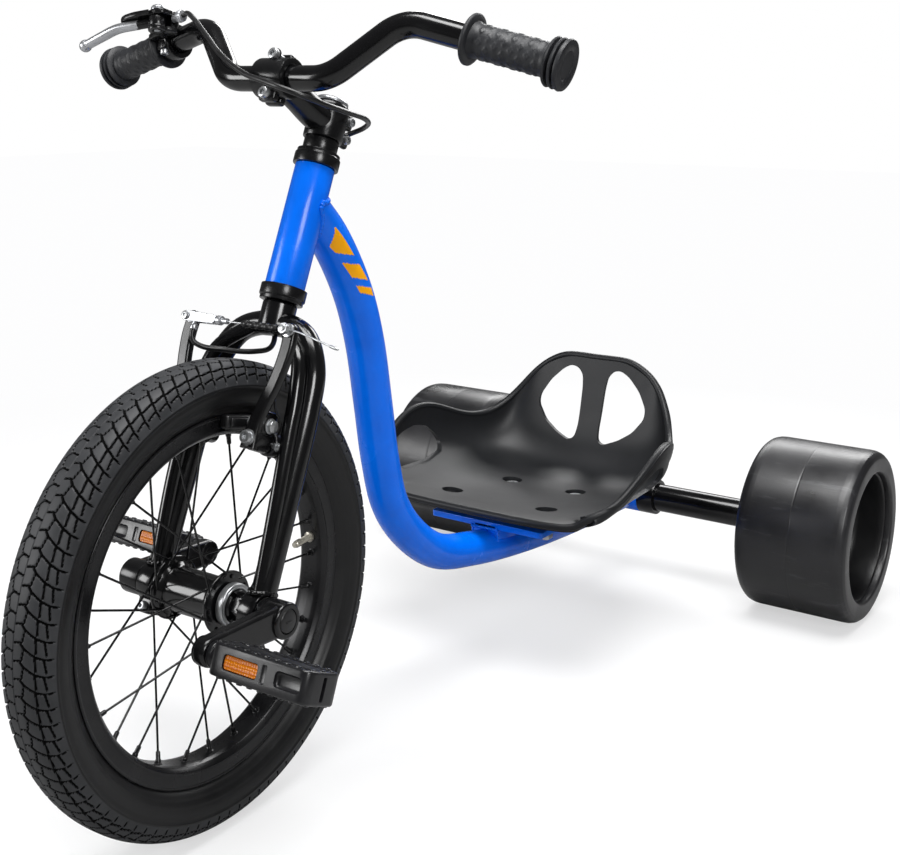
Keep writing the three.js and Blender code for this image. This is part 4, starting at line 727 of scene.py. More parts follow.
def build_rear():
    screw_x, wheel_x, nut_x = 32, 254, 278.3
    tube = moved(sleeve(14.5, 17.5, -180, 180, 72, 0.6), ALONG_X)
    piece("axle_tube", tube, "frame_body", BLACK, REAR, "rear_axle_tube")
    bushes = [moved(sleeve(6.2, 14.2, 150, 179, 48, 0.6), place @ ALONG_X) for _, place in SIDES]
    threads = swept([Vector((x, 0, 0)) for x in np.linspace(-292, 292, 585)],
                    lambda t, a: 6 - (0.35 if abs(t - 0.5) > 0.44 and int(t * 584) % 2 else 0), 32)
    piece("axle_rod", joined(threads, *bushes), "frame_body", ZINC, REAR, "rear_axle_rod")
    for side, place in SIDES:
        at = REAR @ place
        top = (screw_x, 0, 22.8)
        screw = joined(rod((screw_x, 0, 9), top, 3.5), moved(hex_nut(5.8, 4.5), shift(*top)))
        piece(f"{side}_axle_screw", screw, "frame_body", ZINC, at, f"{side}_axle_bolt")
        nut = joined(moved(sleeve(6.3, 12.3, 0, 2, 48, 0.4), ALONG_X),
                     moved(hex_nut(9.4, 9, 6.3), shift(2, 0, 0) @ ALONG_X))
        piece(f"{side}_end_nut", nut, "frame_body", ZINC, at @ shift(nut_x, 0, 0), f"{side}_axle_nut")
        middle = at @ shift(wheel_x, 0, 0)
        lip = [(DRUM_RADIUS, 50), (103.6, 55.5), (102, 60.5), (99, 64), (95, 65.7), (91, 66), (81.5, 66),
               (79.6, 65.2), (78.6, 63.4), (77.8, 58.6), (77.8, 40)]
        seam = [(DRUM_RADIUS, -1.2), (DRUM_RADIUS - 0.25, 0), (DRUM_RADIUS, 1.2)]
        drum = [(r, -x) for r, x in reversed(lip)] + seam + lip
        piece(f"{side}_drum", hoop(drum, 160, 0.8), f"{side}_wheel", DRUM, middle @ ALONG_X,
              f"{side}_rear_wheel", smooth=50, weld=True)
        # The web and its ribs take the darker copy of the wheel plastic: painted shade inside the drum.
        bowl = [(78.2, 58.2), (76.4, 58), (75.4, 57), (74.4, 50), (73, 26), (70, 18.5), (66, 16), (26, 16),
                (24, 18), (24, 24), (14.3, 24), (14.3, 14.7), (9, 14.7), (9, -50.7), (14.3, -50.7),
                (14.3, -60), (24, -60), (26, -2), (32, 5), (64, 5), (70, 1), (73, -8), (75.4, -57),
                (76.4, -58), (78.2, -58.2)]
        piece(f"{side}_web", hoop(bowl, 128, 2.2), f"{side}_wheel", RECESS_SHADE, middle @ ALONG_X, smooth=50,
              weld=True)
        rib = block((50, 38, 4), (-21, 42, 0), 1.2)
        ribs = [moved(rib, spin(k * FULL / 6)) for k in range(6)]
        piece(f"{side}_web_ribs", joined(*ribs), f"{side}_wheel", RECESS_SHADE, middle)
        for name, start in (("inner", -60), ("outer", 15)):
            ring = [(6.3, start), (8.4, start), (8.4, start + 0.6), (11.4, start + 0.6), (11.4, start),
                    (14, start), (14, start + 9), (6.3, start + 9)]
            piece(f"{side}_{name}_race", hoop(ring, 64, 0.3), f"{side}_wheel", STEEL,
                  middle @ ALONG_X, f"{side}_{name}_bearing")


build_rear()


# Fork

LEG = [(60, 0, 16), (59.5, 0, 95), (58, 0, 170), (53.5, 0, 207), (37, 0, 233), (14, 0, 242)]
STAY = [(60, -5, 16), (60, -13, 95), (57.5, -16, 150), (55, -16, 180), (46, -14, 213), (20, -7, 237)]

PIVOT_X, PIVOT_Z = 42, 137


def build_fork():
    leg = swept(flowing(LEG + [(-14, 0, 242)], 60), 11, 40)
    stay = swept(flowing(STAY, 50), 6.5, 28)
    race = turned([(0, 237), (14.6, 237), (15.5, 239), (15.5, 259.5), (14.5, 261.7), (12.7, 261.7),
                   (12.7, 446), (0, 446)], 64, 0.6)
    holder = moved(sleeve(14.3, 18, 51, 67, 72, 0.8), ALONG_X)
    lugs = [block((16, 7.5, 13.5), (59, s * 5.25, -21.2), 1.5) for s in (1, -1)]
    boss = rod((PIVOT_X, 4, PIVOT_Z), (PIVOT_X, -22.5, PIVOT_Z), 8, 48, 0.8)
    stud = rod((PIVOT_X, 0, PIVOT_Z), (PIVOT_X, -44, PIVOT_Z), 4.5, 32)
    web = block((18, 11, 12), (PIVOT_X + 9, -5.5, PIVOT_Z), 2.5)
    weld = looped([Vector((60 + 9.5 * math.cos(a), -1 + 13 * math.sin(a), 16.6 + 1.2 * math.cos(2 * a)))
                   for a in np.linspace(0, FULL, 80, endpoint=False)],
                  lambda t: 1.9 + 0.25 * math.sin(26 * FULL * t))
    half = joined(leg, stay, holder, *lugs, boss, stud, web, weld)
    piece("fork_weldment", joined(half, moved(half, MIRROR), race), "steering", BLACK, STEER, "fork")
    for side, place in SIDES:
        at = STEER @ place
        ring = [(7.8, 53), (9.6, 53), (9.6, 53.5), (12.1, 53.5), (12.1, 53), (14, 53), (14, 65), (12.1, 65),
                (12.1, 64.5), (9.6, 64.5), (9.6, 65), (7.8, 65)]
        piece(f"{side}_crank_race", hoop(ring, 64, 0.2), "steering", STEEL, at @ ALONG_X,
              f"{side}_crank_bearing")
        clip = moved(plate(disc(14.2, sides=64), 1, 0.2, [disc(11.2, sides=64)]), shift(66, 0, 0) @ ALONG_X)
        piece(f"{side}_circlip", clip, "steering", STEEL, at)
        pinch = joined(rod((59, 10.5, -22), (59, -9.4, -22), 2.5),
                       moved(socket_bolt(4.4, 4.4, 2), aim((59, -9, -22), (59, -14, -22))))
        piece(f"{side}_holder_screw", pinch, "steering", ZINC, at)


build_fork()


# Headset spacer, stem and handlebar

CLAMP_Y, CLAMP_Z = -76.7, 440.4
CLAMP = shift(0, CLAMP_Y, CLAMP_Z)


def build_stem():
    pinch_y, pinch_heights = 22, (422.4, 439.5)
    tab_rise, bolt_rise = 17, 17.6
    spacer = [(13, 402.3), (15.8, 402.3), (15.8, 413.7), (13, 413.7)]
    piece("spacer", hoop(spacer, 72, 0.8), "steering", ALLOY, STEER, "headset_spacer")
    clamp = hoop([(13, 414), (18, 414), (18, 441), (17.4, 446), (15.5, 448), (13, 448)], 72, 1.2)
    lugs = [block((6.4, 22, 14.5), (s * 4.8, 17.5, z), 3) for s in (1, -1) for z in pinch_heights]
    lugs += [block((6, 8, 30), (s * 4.6, 17, 431), 2) for s in (1, -1)]
    neck_line = [(0, -6, 430), (0, -24, 432), (0, -46, 436.5), (0, -68, 440)]
    neck = swept(flowing(neck_line, 24), lambda t, a: (14 - 1.5 * t) * (1 + 0.08 * t * math.cos(2 * a)), 48)
    half = [(11.5, -17), (17.5, -17), (17.5, 17), (11.5, 17)]
    bar_clamp = moved(hoop(half, 72, 1), CLAMP @ ALONG_X)
    tabs = [block((18, 8, 12), (0, CLAMP_Y + 4.6, CLAMP_Z + s * tab_rise), 2.6) for s in (1, -1)]
    piece("stem_body", joined(clamp, neck, bar_clamp, *lugs, *tabs), "steering", ALLOY, STEER, "stem")
    front = [(11.5, -17), (17.6, -17), (18.3, -14), (18.3, 14), (17.6, 17), (11.5, 17)]
    cover = moved(hoop(front, 72, 0.8), CLAMP @ ALONG_X)
    caps = [block((18, 8, 12), (0, CLAMP_Y - 4.8, CLAMP_Z + s * tab_rise), 2.6) for s in (1, -1)]
    plate_piece = piece("stem_front", joined(cover, *caps), "steering", ALLOY, STEER, "stem_faceplate")
    away = metres(block((60, 60, 90), (0, CLAMP_Y + 29.2, CLAMP_Z), 0.5), STEER)
    carved(plate_piece, away)
    for way, name in ((1, "top"), (-1, "low")):
        foot = (0, CLAMP_Y - 8.9, CLAMP_Z + way * bolt_rise)
        lift = (0, CLAMP_Y - 20, CLAMP_Z + way * bolt_rise)
        bolt = joined(moved(socket_bolt(5, 5, 2.4), aim((foot[0], foot[1] - 1, foot[2]), lift)),
                      rod(foot, (0, CLAMP_Y + 8, foot[2]), 2.9))
        piece(f"stem_front_screw_{name}", bolt, "steering", ZINC, STEER)
        washer = moved(sleeve(3, 6, 0, 1.1, 40, 0.3), aim(foot, lift))
        piece(f"stem_front_washer_{name}", washer, "steering", RUBBER, STEER)
    for z, name in zip(pinch_heights, ("low", "top")):
        bolt = joined(moved(socket_bolt(4.2, 4.4, 2), aim((7.6, pinch_y, z), (20, pinch_y, z))),
                      rod((-9, pinch_y, z), (8, pinch_y, z), 2.5),
                      moved(hex_nut(4, 3), aim((-7.8, pinch_y, z), (-20, pinch_y, z))))
        piece(f"stem_pinch_screw_{name}", bolt, "steering", ZINC, STEER)
    cap = [(0, 448.3), (15.5, 448.3), (15.5, 450.6), (13.6, 452.6), (7, 452.9), (6.6, 451.6), (0, 451.6)]
    piece("steerer_cap", turned(cap, 72, 0.5), "steering", BRIGHT, STEER, "stem_cap")
    piece("steerer_cap_screw", moved(socket_bolt(4.6, 4, 2.4), shift(0, 0, 451.4)), "steering", ZINC, STEER)


BAR_CORNERS = [Vector((55.4, CLAMP_Y, CLAMP_Z)), Vector((109.6, -64.1, 496.6)), Vector((248.2, -35.2, 469.6))]
_, BAR_ROOT, BAR_END = BAR_CORNERS
GRIP_WAY = (BAR_END - BAR_ROOT).normalized()
GRIP_START = BAR_ROOT + GRIP_WAY * (169.5 - BAR_ROOT.x) / GRIP_WAY.x


def grip_shape():
    """A flanged grip: raised dashes and dimples on the barrel, two rings and a dished end disc."""
    end = (BAR_END - GRIP_START).length + 5.3
    profile = [(12, 0), (20.6, 0), (21.4, 0.8), (21.4, 2.6), (20.4, 3.6), (15.6, 4.2), (14.4, 7)]
    profile += [(14.1, z) for z in np.linspace(9, end - 19, 70)]
    profile += [(14.6, end - 18), (14.6, end - 15), (19.6, end - 14.2), (20.3, end - 13.2), (19.6, end - 12),
                (14.8, end - 11.4), (14.8, end - 9.6), (19.9, end - 9), (20.6, end - 7.8), (19.9, end - 6.6),
                (15.2, end - 6), (15.2, end - 4.4), (20.4, end - 4), (21, end - 2.6), (20.4, end - 0.7),
                (17.5, end), (12, end - 0.5), (11.4, end - 1.3), (0.01, end - 1.3)]
    rings = []
    sides = 96
    for r, z in profile:
        ring = []
        for k in range(sides):
            angle, radius = k * FULL / sides, r
            if 10 < z < end - 21 and r < 14.5:
                row = (z - 10) / 7.2
                across = angle * 8 / FULL + 0.5 * (int(row) % 2)
                u, v = row % 1 - 0.5, across % 1 - 0.5
                inside = abs(u) / 0.42 + abs(v) / 0.40
                radius += 0.55 * min(max((1 - inside) * 4, 0), 1) - 0.5 * max(0, 1 - math.hypot(u, v) * 7)
            ring.append(Vector((radius * math.cos(angle), radius * math.sin(angle), z)))
        rings.append(ring)
    return moved(loft(rings), shift(*GRIP_START) @ GRIP_WAY.to_track_quat("Z", "Y").to_matrix().to_4x4())


def build_bar():
    line = bent([MIRROR @ c for c in reversed(BAR_CORNERS)] + BAR_CORNERS, 36, 18)
    piece("bar", swept(line, 11.1, 48), "steering", BLACK, STEER, "handlebar")
    for side, place in SIDES:
        piece(f"{side}_grip_cover", grip_shape(), "steering", GRIP, STEER @ place, f"{side}_grip", smooth=50)


build_stem()
build_bar()


# Three printed bands on the main tube: corners as distance along the tube and angle round it

def build_bands():
    line = frames(flowing(MAIN_TUBE, 400))
    length = sum((b[0] - a[0]).length for a, b in zip(line, line[1:]))
    bands = [[(24, 6), (64, -2), (48, 46), (38.5, 51)], [(62, 42), (76.5, -7), (97, -17), (82, 33)],
             [(92.5, 30), (107, -23), (114.5, -20), (101.5, 27)]]
    cells = 18
    row, sheet = cells + 1, (cells + 1) ** 2
    grid = [(i / cells, j / cells) for i in range(row) for j in range(row)]
    faces = [(row * i + j, row * i + j + 1, row * (i + 1) + j + 1, row * (i + 1) + j)
             for i in range(cells) for j in range(cells)]
    rim = [i * row for i in range(row)] + [row * cells + j for j in range(1, row)]
    rim += [cells + i * row for i in range(cells - 1, -1, -1)] + list(range(cells - 1, 0, -1))
    walls = [(p, q, sheet + q, sheet + p) for p, q in zip(rim, rim[1:] + rim[:1])]
    side = Vector((1, 0, 0))
    for n, corners in enumerate(bands):
        a, b, c, d = (Vector(p) for p in corners)
        verts = []
        for lift in (-0.3, 0.12):
            for u, v in grid:
                spot = a * (1 - u) * (1 - v) + b * u * (1 - v) + c * u * v + d * (1 - u) * v
                point, tangent, _, _ = line[round(spot.x / length * (len(line) - 1))]
                angle = math.radians(spot.y)
                way = side * math.cos(angle) + tangent.cross(side) * math.sin(angle)
                verts.append(point + way * (TUBE_RADIUS + lift))
        top = [tuple(sheet + k for k in face) for face in faces]
        shape = verts, [face[::-1] for face in faces] + top + walls
        piece(f"tube_band_{n + 1}", shape, "frame_body", ORANGE, CHASSIS, weld=True)


build_bands()


# Front wheel

SECTION = [(0, TYRE_RADIUS), (9, 204.4), (17.4, 201.4), (23.2, 195), (26, 186), (25.5, 177.4), (22.4, 169.6),
           (17.6, 163.2), (14.6, 160.4), (13.3, 158), (13.1, 153.3)]
PITCH_COUNT = 92
PITCH = FULL * TYRE_RADIUS / PITCH_COUNT
GROOVE_DEPTH = 1.8
GROOVES = [((0, 0), (-1.4, 6.9), 0.6), ((-1.4, 6.9), (2.9, 11.3), 0.7), ((2.9, 11.3), (7.9, 19.8), 0.7),
           ((7.9, 19.8), (10.5, 26.6), 0.65), ((10.5, 26.6), (11.1, 33.6), 0.6),
           ((2.4, 10.9), (11.9, 9.0), 0.65), ((7.9, 19.8), (19.9, 20.7), 0.65),
           ((10.5, 26.6), (21.4, 28.6), 0.6), ((1.5, 0), (12.5, 0), 0.4)]


def groove_depth(along, across):
    """The tread's depth at distances along the tyre's round and across from its middle."""
    depth = np.zeros_like(along)
    for (a0, w0), (a1, w1), half in GROOVES:
        for repeat in (-2, -1, 0, 1):
            dx, dy = along - (a0 + repeat * PITCH), across - w0
            da, dw = a1 - a0, w1 - w0
            t = np.clip((dx * da + dy * dw) / (da * da + dw * dw), 0, 1)
            far = np.hypot(dx - t * da, dy - t * dw)
            depth = np.maximum(depth, np.clip((half + 0.3 - far) / 0.5, 0, 1))
    return depth * GROOVE_DEPTH


def build_tyre():
    half = flowing([(x, r, 0) for x, r in SECTION], 200)
    runs = np.concatenate([[0], np.cumsum([(b - a).length for a, b in zip(half, half[1:])])])
    picks = list(np.arange(0, 34.2, 0.7)) + list(np.linspace(34.9, runs[-1], 28))
    xs = np.interp(picks, runs, [p.x for p in half])
    rs = np.interp(picks, runs, [p.y for p in half])
    step = 20
    cells = PITCH_COUNT * step
    along = np.arange(step) * PITCH / step
    grid_a, grid_w = np.meshgrid(along, picks, indexing="ij")
    nx, nr = -np.gradient(rs, picks), np.gradient(xs, picks)
    spots = np.array(picks)
    side_ridge = 0.9 * np.exp(-((spots - 37.2) / 0.7) ** 2) - 0.7 * np.exp(-((spots - 39.8) / 1.0) ** 2)
    for spot in (52, 54.2, 56.4):
        side_ridge += 0.5 * np.exp(-((spots - spot) / 0.55) ** 2)
    columns = []
    for lag in (0, 0.5):
        depth = groove_depth((grid_a + lag * PITCH) % PITCH, grid_w)
        depth[:, 0] = np.minimum(depth[:, 0], 0.9)
        out = side_ridge[None, :] - depth
        columns.append((depth, xs[None, :] + nx[None, :] * out, rs[None, :] + nr[None, :] * out))
    (dl, xl, rl), (dr, xr, rr) = columns
    middle = 0.5 * (rl[:, :1] + rr[:, :1])
    lining = [(-9.1, 153.3), (-19.5, 187), (-6, 198.5), (6, 198.5), (19.5, 187), (9.1, 153.3)]
    lining_x, lining_r = (np.tile(row, (step, 1)) for row in zip(*lining))
    rows = ((xl[:, :0:-1], np.zeros((step, 1)), -xr[:, 1:], lining_x),
            (rl[:, :0:-1], middle, rr[:, 1:], lining_r),
            (dl[:, :0:-1], dl[:, :1], dr[:, 1:], np.zeros_like(lining_x)))
    x_all, r_all, sunk = (np.tile(np.concatenate(row, 1), (PITCH_COUNT, 1)) for row in rows)
    angle = (np.arange(cells) * FULL / cells)[:, None]
    verts = np.stack([x_all, r_all * np.cos(angle), r_all * np.sin(angle)], -1).reshape(-1, 3)
    count = x_all.shape[1]
    i, j = np.meshgrid(np.arange(cells), np.arange(count), indexing="ij")
    a, b = i * count + j, i * count + (j + 1) % count
    c, d = (i + 1) % cells * count + (j + 1) % count, (i + 1) % cells * count + j
    faces = np.stack([a, d, c, b], -1).reshape(-1, 4)
    tyre = piece("tyre", ([Vector(v) for v in verts], faces.tolist()), "front_wheel", TYRE, WHEEL,
                 "front_tyre", smooth=50)
    for look in (GROOVE_SHADE, SIDEWALL):
        tyre.data.materials.append(look[0])
    # Faces deep in the grooves take the near-black rubber, painted shade in the grooves; the outer bands take
    # the sidewall rubber.
    shade = np.where(sunk[i, j] + sunk[(i + 1) % cells, (j + 1) % count] > 1.7, 1, 0)
    edge = len(picks) - 1 - int(np.searchsorted(picks, 36.2))
    shade = np.where((j < edge) | (j >= 2 * len(picks) - 2 - edge), 2, shade)
    tyre.data.polygons.foreach_set("material_index", shade.reshape(-1).astype(np.int32))


def radial(angle, radius, x):
    return Vector((x, radius * math.cos(angle), radius * math.sin(angle)))


SPOKES = 28
FLANGE_HOLES, RIM_HOLES = 23.5, 141.3


def build_wheel():
    outer = [(13.4, 159.2), (14.4, 160), (15.6, 159.4), (15.8, 158), (15.2, 156.8), (15.2, 147.6),
             (15.7, 146.6), (15.2, 145.2), (11.6, 142), (7, 141.3), (0, 141.1)]
    inner = [(0, 147.6), (7, 147.8), (13.4, 153)]
    ring = [(r, x) for x, r in outer] + [(r, -x) for x, r in reversed(outer[:-1])]
    ring += [(r, -x) for x, r in reversed(inner[1:])] + [(r, x) for x, r in inner]
    piece("rim", hoop(ring, 180, 0.5), "front_wheel", RIM, WHEEL @ ALONG_X, "front_rim", weld=True)
    hub = [(7.8, -41.7), (14, -41.7), (14, -39.7), (27, -39.7), (28, -38.9), (28, -37.1), (27, -36.3),
           (23.5, -35.4), (20.6, -31.5), (20, -29), (20, 15), (20.6, 17), (23.5, 21.4), (27, 22.3),
           (28, 23.1), (28, 24.9), (27, 25.7), (14, 25.7), (14, 27.7), (7.8, 27.7)]
    spokes, nipples, eyelets = [], [], []
    for i in range(SPOKES):
        angle = i * FULL / SPOKES
        lead = 1 if i % 4 < 2 else -1
        flange = -38 if i % 2 else 24
        foot = radial(angle + lead * 4 * FULL / SPOKES, FLANGE_HOLES, flange + lead * 1.2)
        hole = radial(angle, RIM_HOLES, 0)
        way = (hole - foot).normalized()
        elbow = foot + Vector((lead * 1.3, 0, 0))
        line = bent([foot - Vector((lead * 3.6, 0, 0)), elbow, hole], 1.6, 4)
        spokes.append(swept(line, 1.0, 10))
        head = foot - Vector((lead * 3.2, 0, 0))
        spokes.append(rod(head, head - Vector((lead * 1.1, 0, 0)), 2, 14, 0.5))
        body = [(0, -10), (1.35, -10), (1.9, -9), (2.0, -3.5), (2.5, -2.6), (2.5, 0), (2.1, 1.5), (2.1, 6),
                (0, 6)]
        nipples.append(moved(turned(body, 16, 0.25), aim(hole, hole + way)))
        spot = radial(angle, RIM_HOLES - 0.1, 0)
        eyelets.append(moved(hoop([(2.2, -0.9), (3.6, -0.5), (3.9, 0.6), (2.2, 0.6)], 20, 0.3),
                             aim(spot, spot * 1.1)))
    piece("hub_and_spokes", joined(moved(hoop(hub, 96, 0.6), ALONG_X), *spokes), "front_wheel", BLACK, WHEEL,
          "front_hub_and_spokes")
    piece("nipples", joined(*nipples), "front_wheel", ALLOY, WHEEL)
    piece("eyelets", joined(*eyelets), "front_wheel", RIM, WHEEL)
    ring = [(14.6, 28.1), (18.4, 28.1), (19, 28.8), (19, 34.6), (18.4, 35.4), (17.3, 35.4), (17.1, 34.9),
            (16.7, 34.9), (16.5, 35.8), (15, 35.8), (14.6, 35.2)]
    piece("freewheel", hoop(ring, 96, 0.25), "front_wheel", ZINC, WHEEL @ ALONG_X,
          "freewheel_ring", weld=True)
    core = [(7.8, 28.1), (14.3, 28.1), (14.3, 36.8), (13.4, 38.4), (7.8, 38.4)]
    notches = [metres(block((9, 60, 5), (39.5, 0, 0), 0.3), WHEEL @ spin(k * QUARTER)) for k in (0.3, 1.3)]
    carved(piece("freewheel_core", hoop(core, 96, 0.4), "front_wheel", ALLOY, WHEEL @ ALONG_X, weld=True),
           *notches, edge=0.4)
    angle = math.radians(6.43)
    seat, tip = radial(angle, RIM_HOLES, 0), radial(angle, 117.8, 0)
    stem = [(0, 0), (2.7, 0), (2.7, 1.2), (2.4, 1.6), (3.4, 2.6), (3.6, 8.6), (2.7, 9.4), (2.7, 20.2),
            (4.9, 20.6), (4.9, 23.2), (0, 23.2)]
    valve = joined(moved(turned(stem, 40, 0.3), aim(tip, seat)),
                   *[moved(hoop([(2.6, 0), (3, 0.35), (2.6, 0.7)], 32, 0), aim(tip + (seat - tip) * t, seat))
                     for t in np.linspace(0.42, 0.84, 9)])
    piece("valve", valve, "front_wheel", BRASS, WHEEL, "tyre_valve")


build_tyre()
build_wheel()


# Cranks and pedals

def crank_side(side):
    """The places of a crank and of its pedal; the left crank points forward and the right one back."""
    turn, place = (math.pi, Matrix()) if side == "left" else (0, MIRROR)
    arm = CRANKS @ spin(turn) @ place
    return arm, arm @ shift(0, CRANK_LENGTH, 0) @ spin(-turn + CRANK_LEAN - PEDAL_TILT)


def build_cranks():
    spacer = moved(hex_nut(10.9, 11.9), ALONG_X @ shift(0, 0, 38.8))
    washer = moved(sleeve(7.6, 12.5, -50.7, -42, 48, 0.4), ALONG_X)
    piece("spindle", joined(rod((-86, 0, 0), (86, 0, 0), 7.5, 40), washer), "crankset", STEEL, CRANKS,
          "crank_spindle")
    piece("spindle_spacer", spacer, "crankset", BLACK, CRANKS)
    for side, _ in SIDES:
        arm, eye = crank_side(side)
        lay = shift(82.5, 0, 0) @ ALONG_X @ spin(QUARTER, "Z")
        blade = moved(plate(arm_outline(CRANK_LENGTH, 14, 12), 13, 3.4, steps=4), lay)
        boss = moved(hoop([(7.8, 70), (15.5, 70), (15.5, 90.5), (14.2, 92), (10.4, 92), (10.2, 89),
                           (7.8, 89)], 72, 0.7), ALONG_X)
        ring = moved(hoop([(5.4, 75.6), (11, 75.6), (11.4, 76.4), (5.4, 76.4)], 40, 0.2),
                     shift(0, CRANK_LENGTH, 0) @ ALONG_X)
        piece(f"{side}_crank_arm", joined(blade, boss, ring), "crankset", ALLOY, arm, f"{side}_crank")
        cap = [(0, 88.5), (10, 88.5), (10, 91.4), (9, 92.6), (3, 93.1), (0, 93.2)]
        slot = block((1.6, 7, 1.4), (93.1, 0, 0), 0.3)
        piece(f"{side}_crank_cap", joined(moved(turned(cap, 64, 0.5), ALONG_X), slot), "crankset", RUBBER,
              arm)
        axle = joined(rod((76.3, 0, 0), (190.6, 0, 0), 5, 32),
                      moved(hex_nut(7, 3.4), shift(89.3, 0, 0) @ ALONG_X))
        piece(f"{side}_pedal_shaft", axle, "crankset", STEEL, eye, f"{side}_pedal_axle")


def build_pedal(side, eye):
    body = f"{side}_pedal_body"
    middle, outer, face = 149.1, 196.6, 20.5
    amber_x, groove_y, stud_z = 133.1, 11.55, 12.4
    wells = [[(x, y + s * groove_y) for x, y in rectangle(83, 5.9, 2)] for s in (1, -1)]
    cage = moved(plate(rectangle(95, 41, 9), 25, 2.2, wells), shift(middle, 0, 0))
    parts = []
    for z in (1, -1):
        for s in (1, -1):
            parts += [block((4.2, 3.2, 2.2), (middle + x, s * 17.6, z * stud_z), 0.7, 2)
                      for x in np.linspace(-35, 35, 8)]
            parts += [block((3, 6.4, 2.4), (middle + x, s * groove_y, z * 10.6), 0.6, 2)
                      for x in np.linspace(-30, 30, 5)]
        parts += [block((3.6, 4.2, 2), (middle + x, y, z * stud_z), 0.7, 2) for x in (-43.4, 43.4)
                  for y in (-11, 0, 11)]
    tube = moved(sleeve(5.3, 8.3, 100, 190.6, 48, 0.6), ALONG_X)
    boss = [(5.4, 89.9), (10, 89.9), (11.4, 91.2), (11.4, 94.6), (10.4, 95.2), (10.4, 96.6), (12, 97.6),
            (12, 107), (5.4, 107)]
    inner = moved(hoop(boss, 56, 0.6), ALONG_X)
    cage_piece = piece(f"{side}_pedal_cage", cage, body, PEDAL, eye, f"{side}_pedal")
    cutters = [metres(block((10, 4, 18), (outer, 0, 0), 1.2), eye)]
    for s in (1, -1):
        for size, x, y, edge in (((33.6, 9, 11.6), amber_x, face, 2.4), ((24, 8, 12), 178.6, face, 3),
                                 ((5, 8, 14), 155.6, face + 2.6, 1.2)):
            cutters.append(metres(block(size, (x, s * y, 0), edge), eye))
    carved(cage_piece, *cutters, edge=0.5)
    piece(f"{side}_pedal_studs", joined(tube, inner, *parts), body, PEDAL, eye)
    for s, name in ((-1, "front"), (1, "rear")):
        at = shift(amber_x, s * 17.8, 0) @ spin(QUARTER)
        piece(f"{side}_{name}_amber", moved(plate(rectangle(33, 11, 3), 3, 0.6), at), body, AMBER, eye,
              f"{side}_pedal_{name}_reflector")


build_cranks()
for side, _ in SIDES:
    build_pedal(side, crank_side(side)[1])


# Brake: arms, pads, curved pipe, wire and boot

ARM_LINE = [(42, 128), (42, 140), (43.5, 153), (47, 167), (51.5, 182), (55, 200), (56.5, 216), (56, 226),
            (55.7, 231)]
PAD_Y, PAD_Z = -32, 150.64
WIRE_Y, WIRE_Z = -50.5, 230
PIPE_X, LINK_X, ANCHOR_X = -46, -55.7, 56


def arm_strip():
    """The arm's front outline: a strip that narrows at its waist, with a round top."""
    count = 60
    spots = flowing([(x, z, 0) for x, z in ARM_LINE], count)
    edges = {1: [], -1: []}
    for i, spot in enumerate(spots):
        share = i / count
        along = (spots[min(i + 1, count)] - spots[max(i - 1, 0)]).normalized()
        plain = 16 - 3.5 * share
        half = (plain - (plain - 12) * math.sin(math.pi * share)) / 2
        for way, edge in edges.items():
            edge.append((spot.x - way * half * along.y, spot.y + way * half * along.x))
    top, start = spots[-1], math.atan2(along.x, -along.y)
    cap = [(top.x + 6 * math.cos(start - a), top.y + 6 * math.sin(start - a))
           for a in np.linspace(0.3, math.pi - 0.3, 9)]
    return edges[1] + cap + edges[-1][::-1]


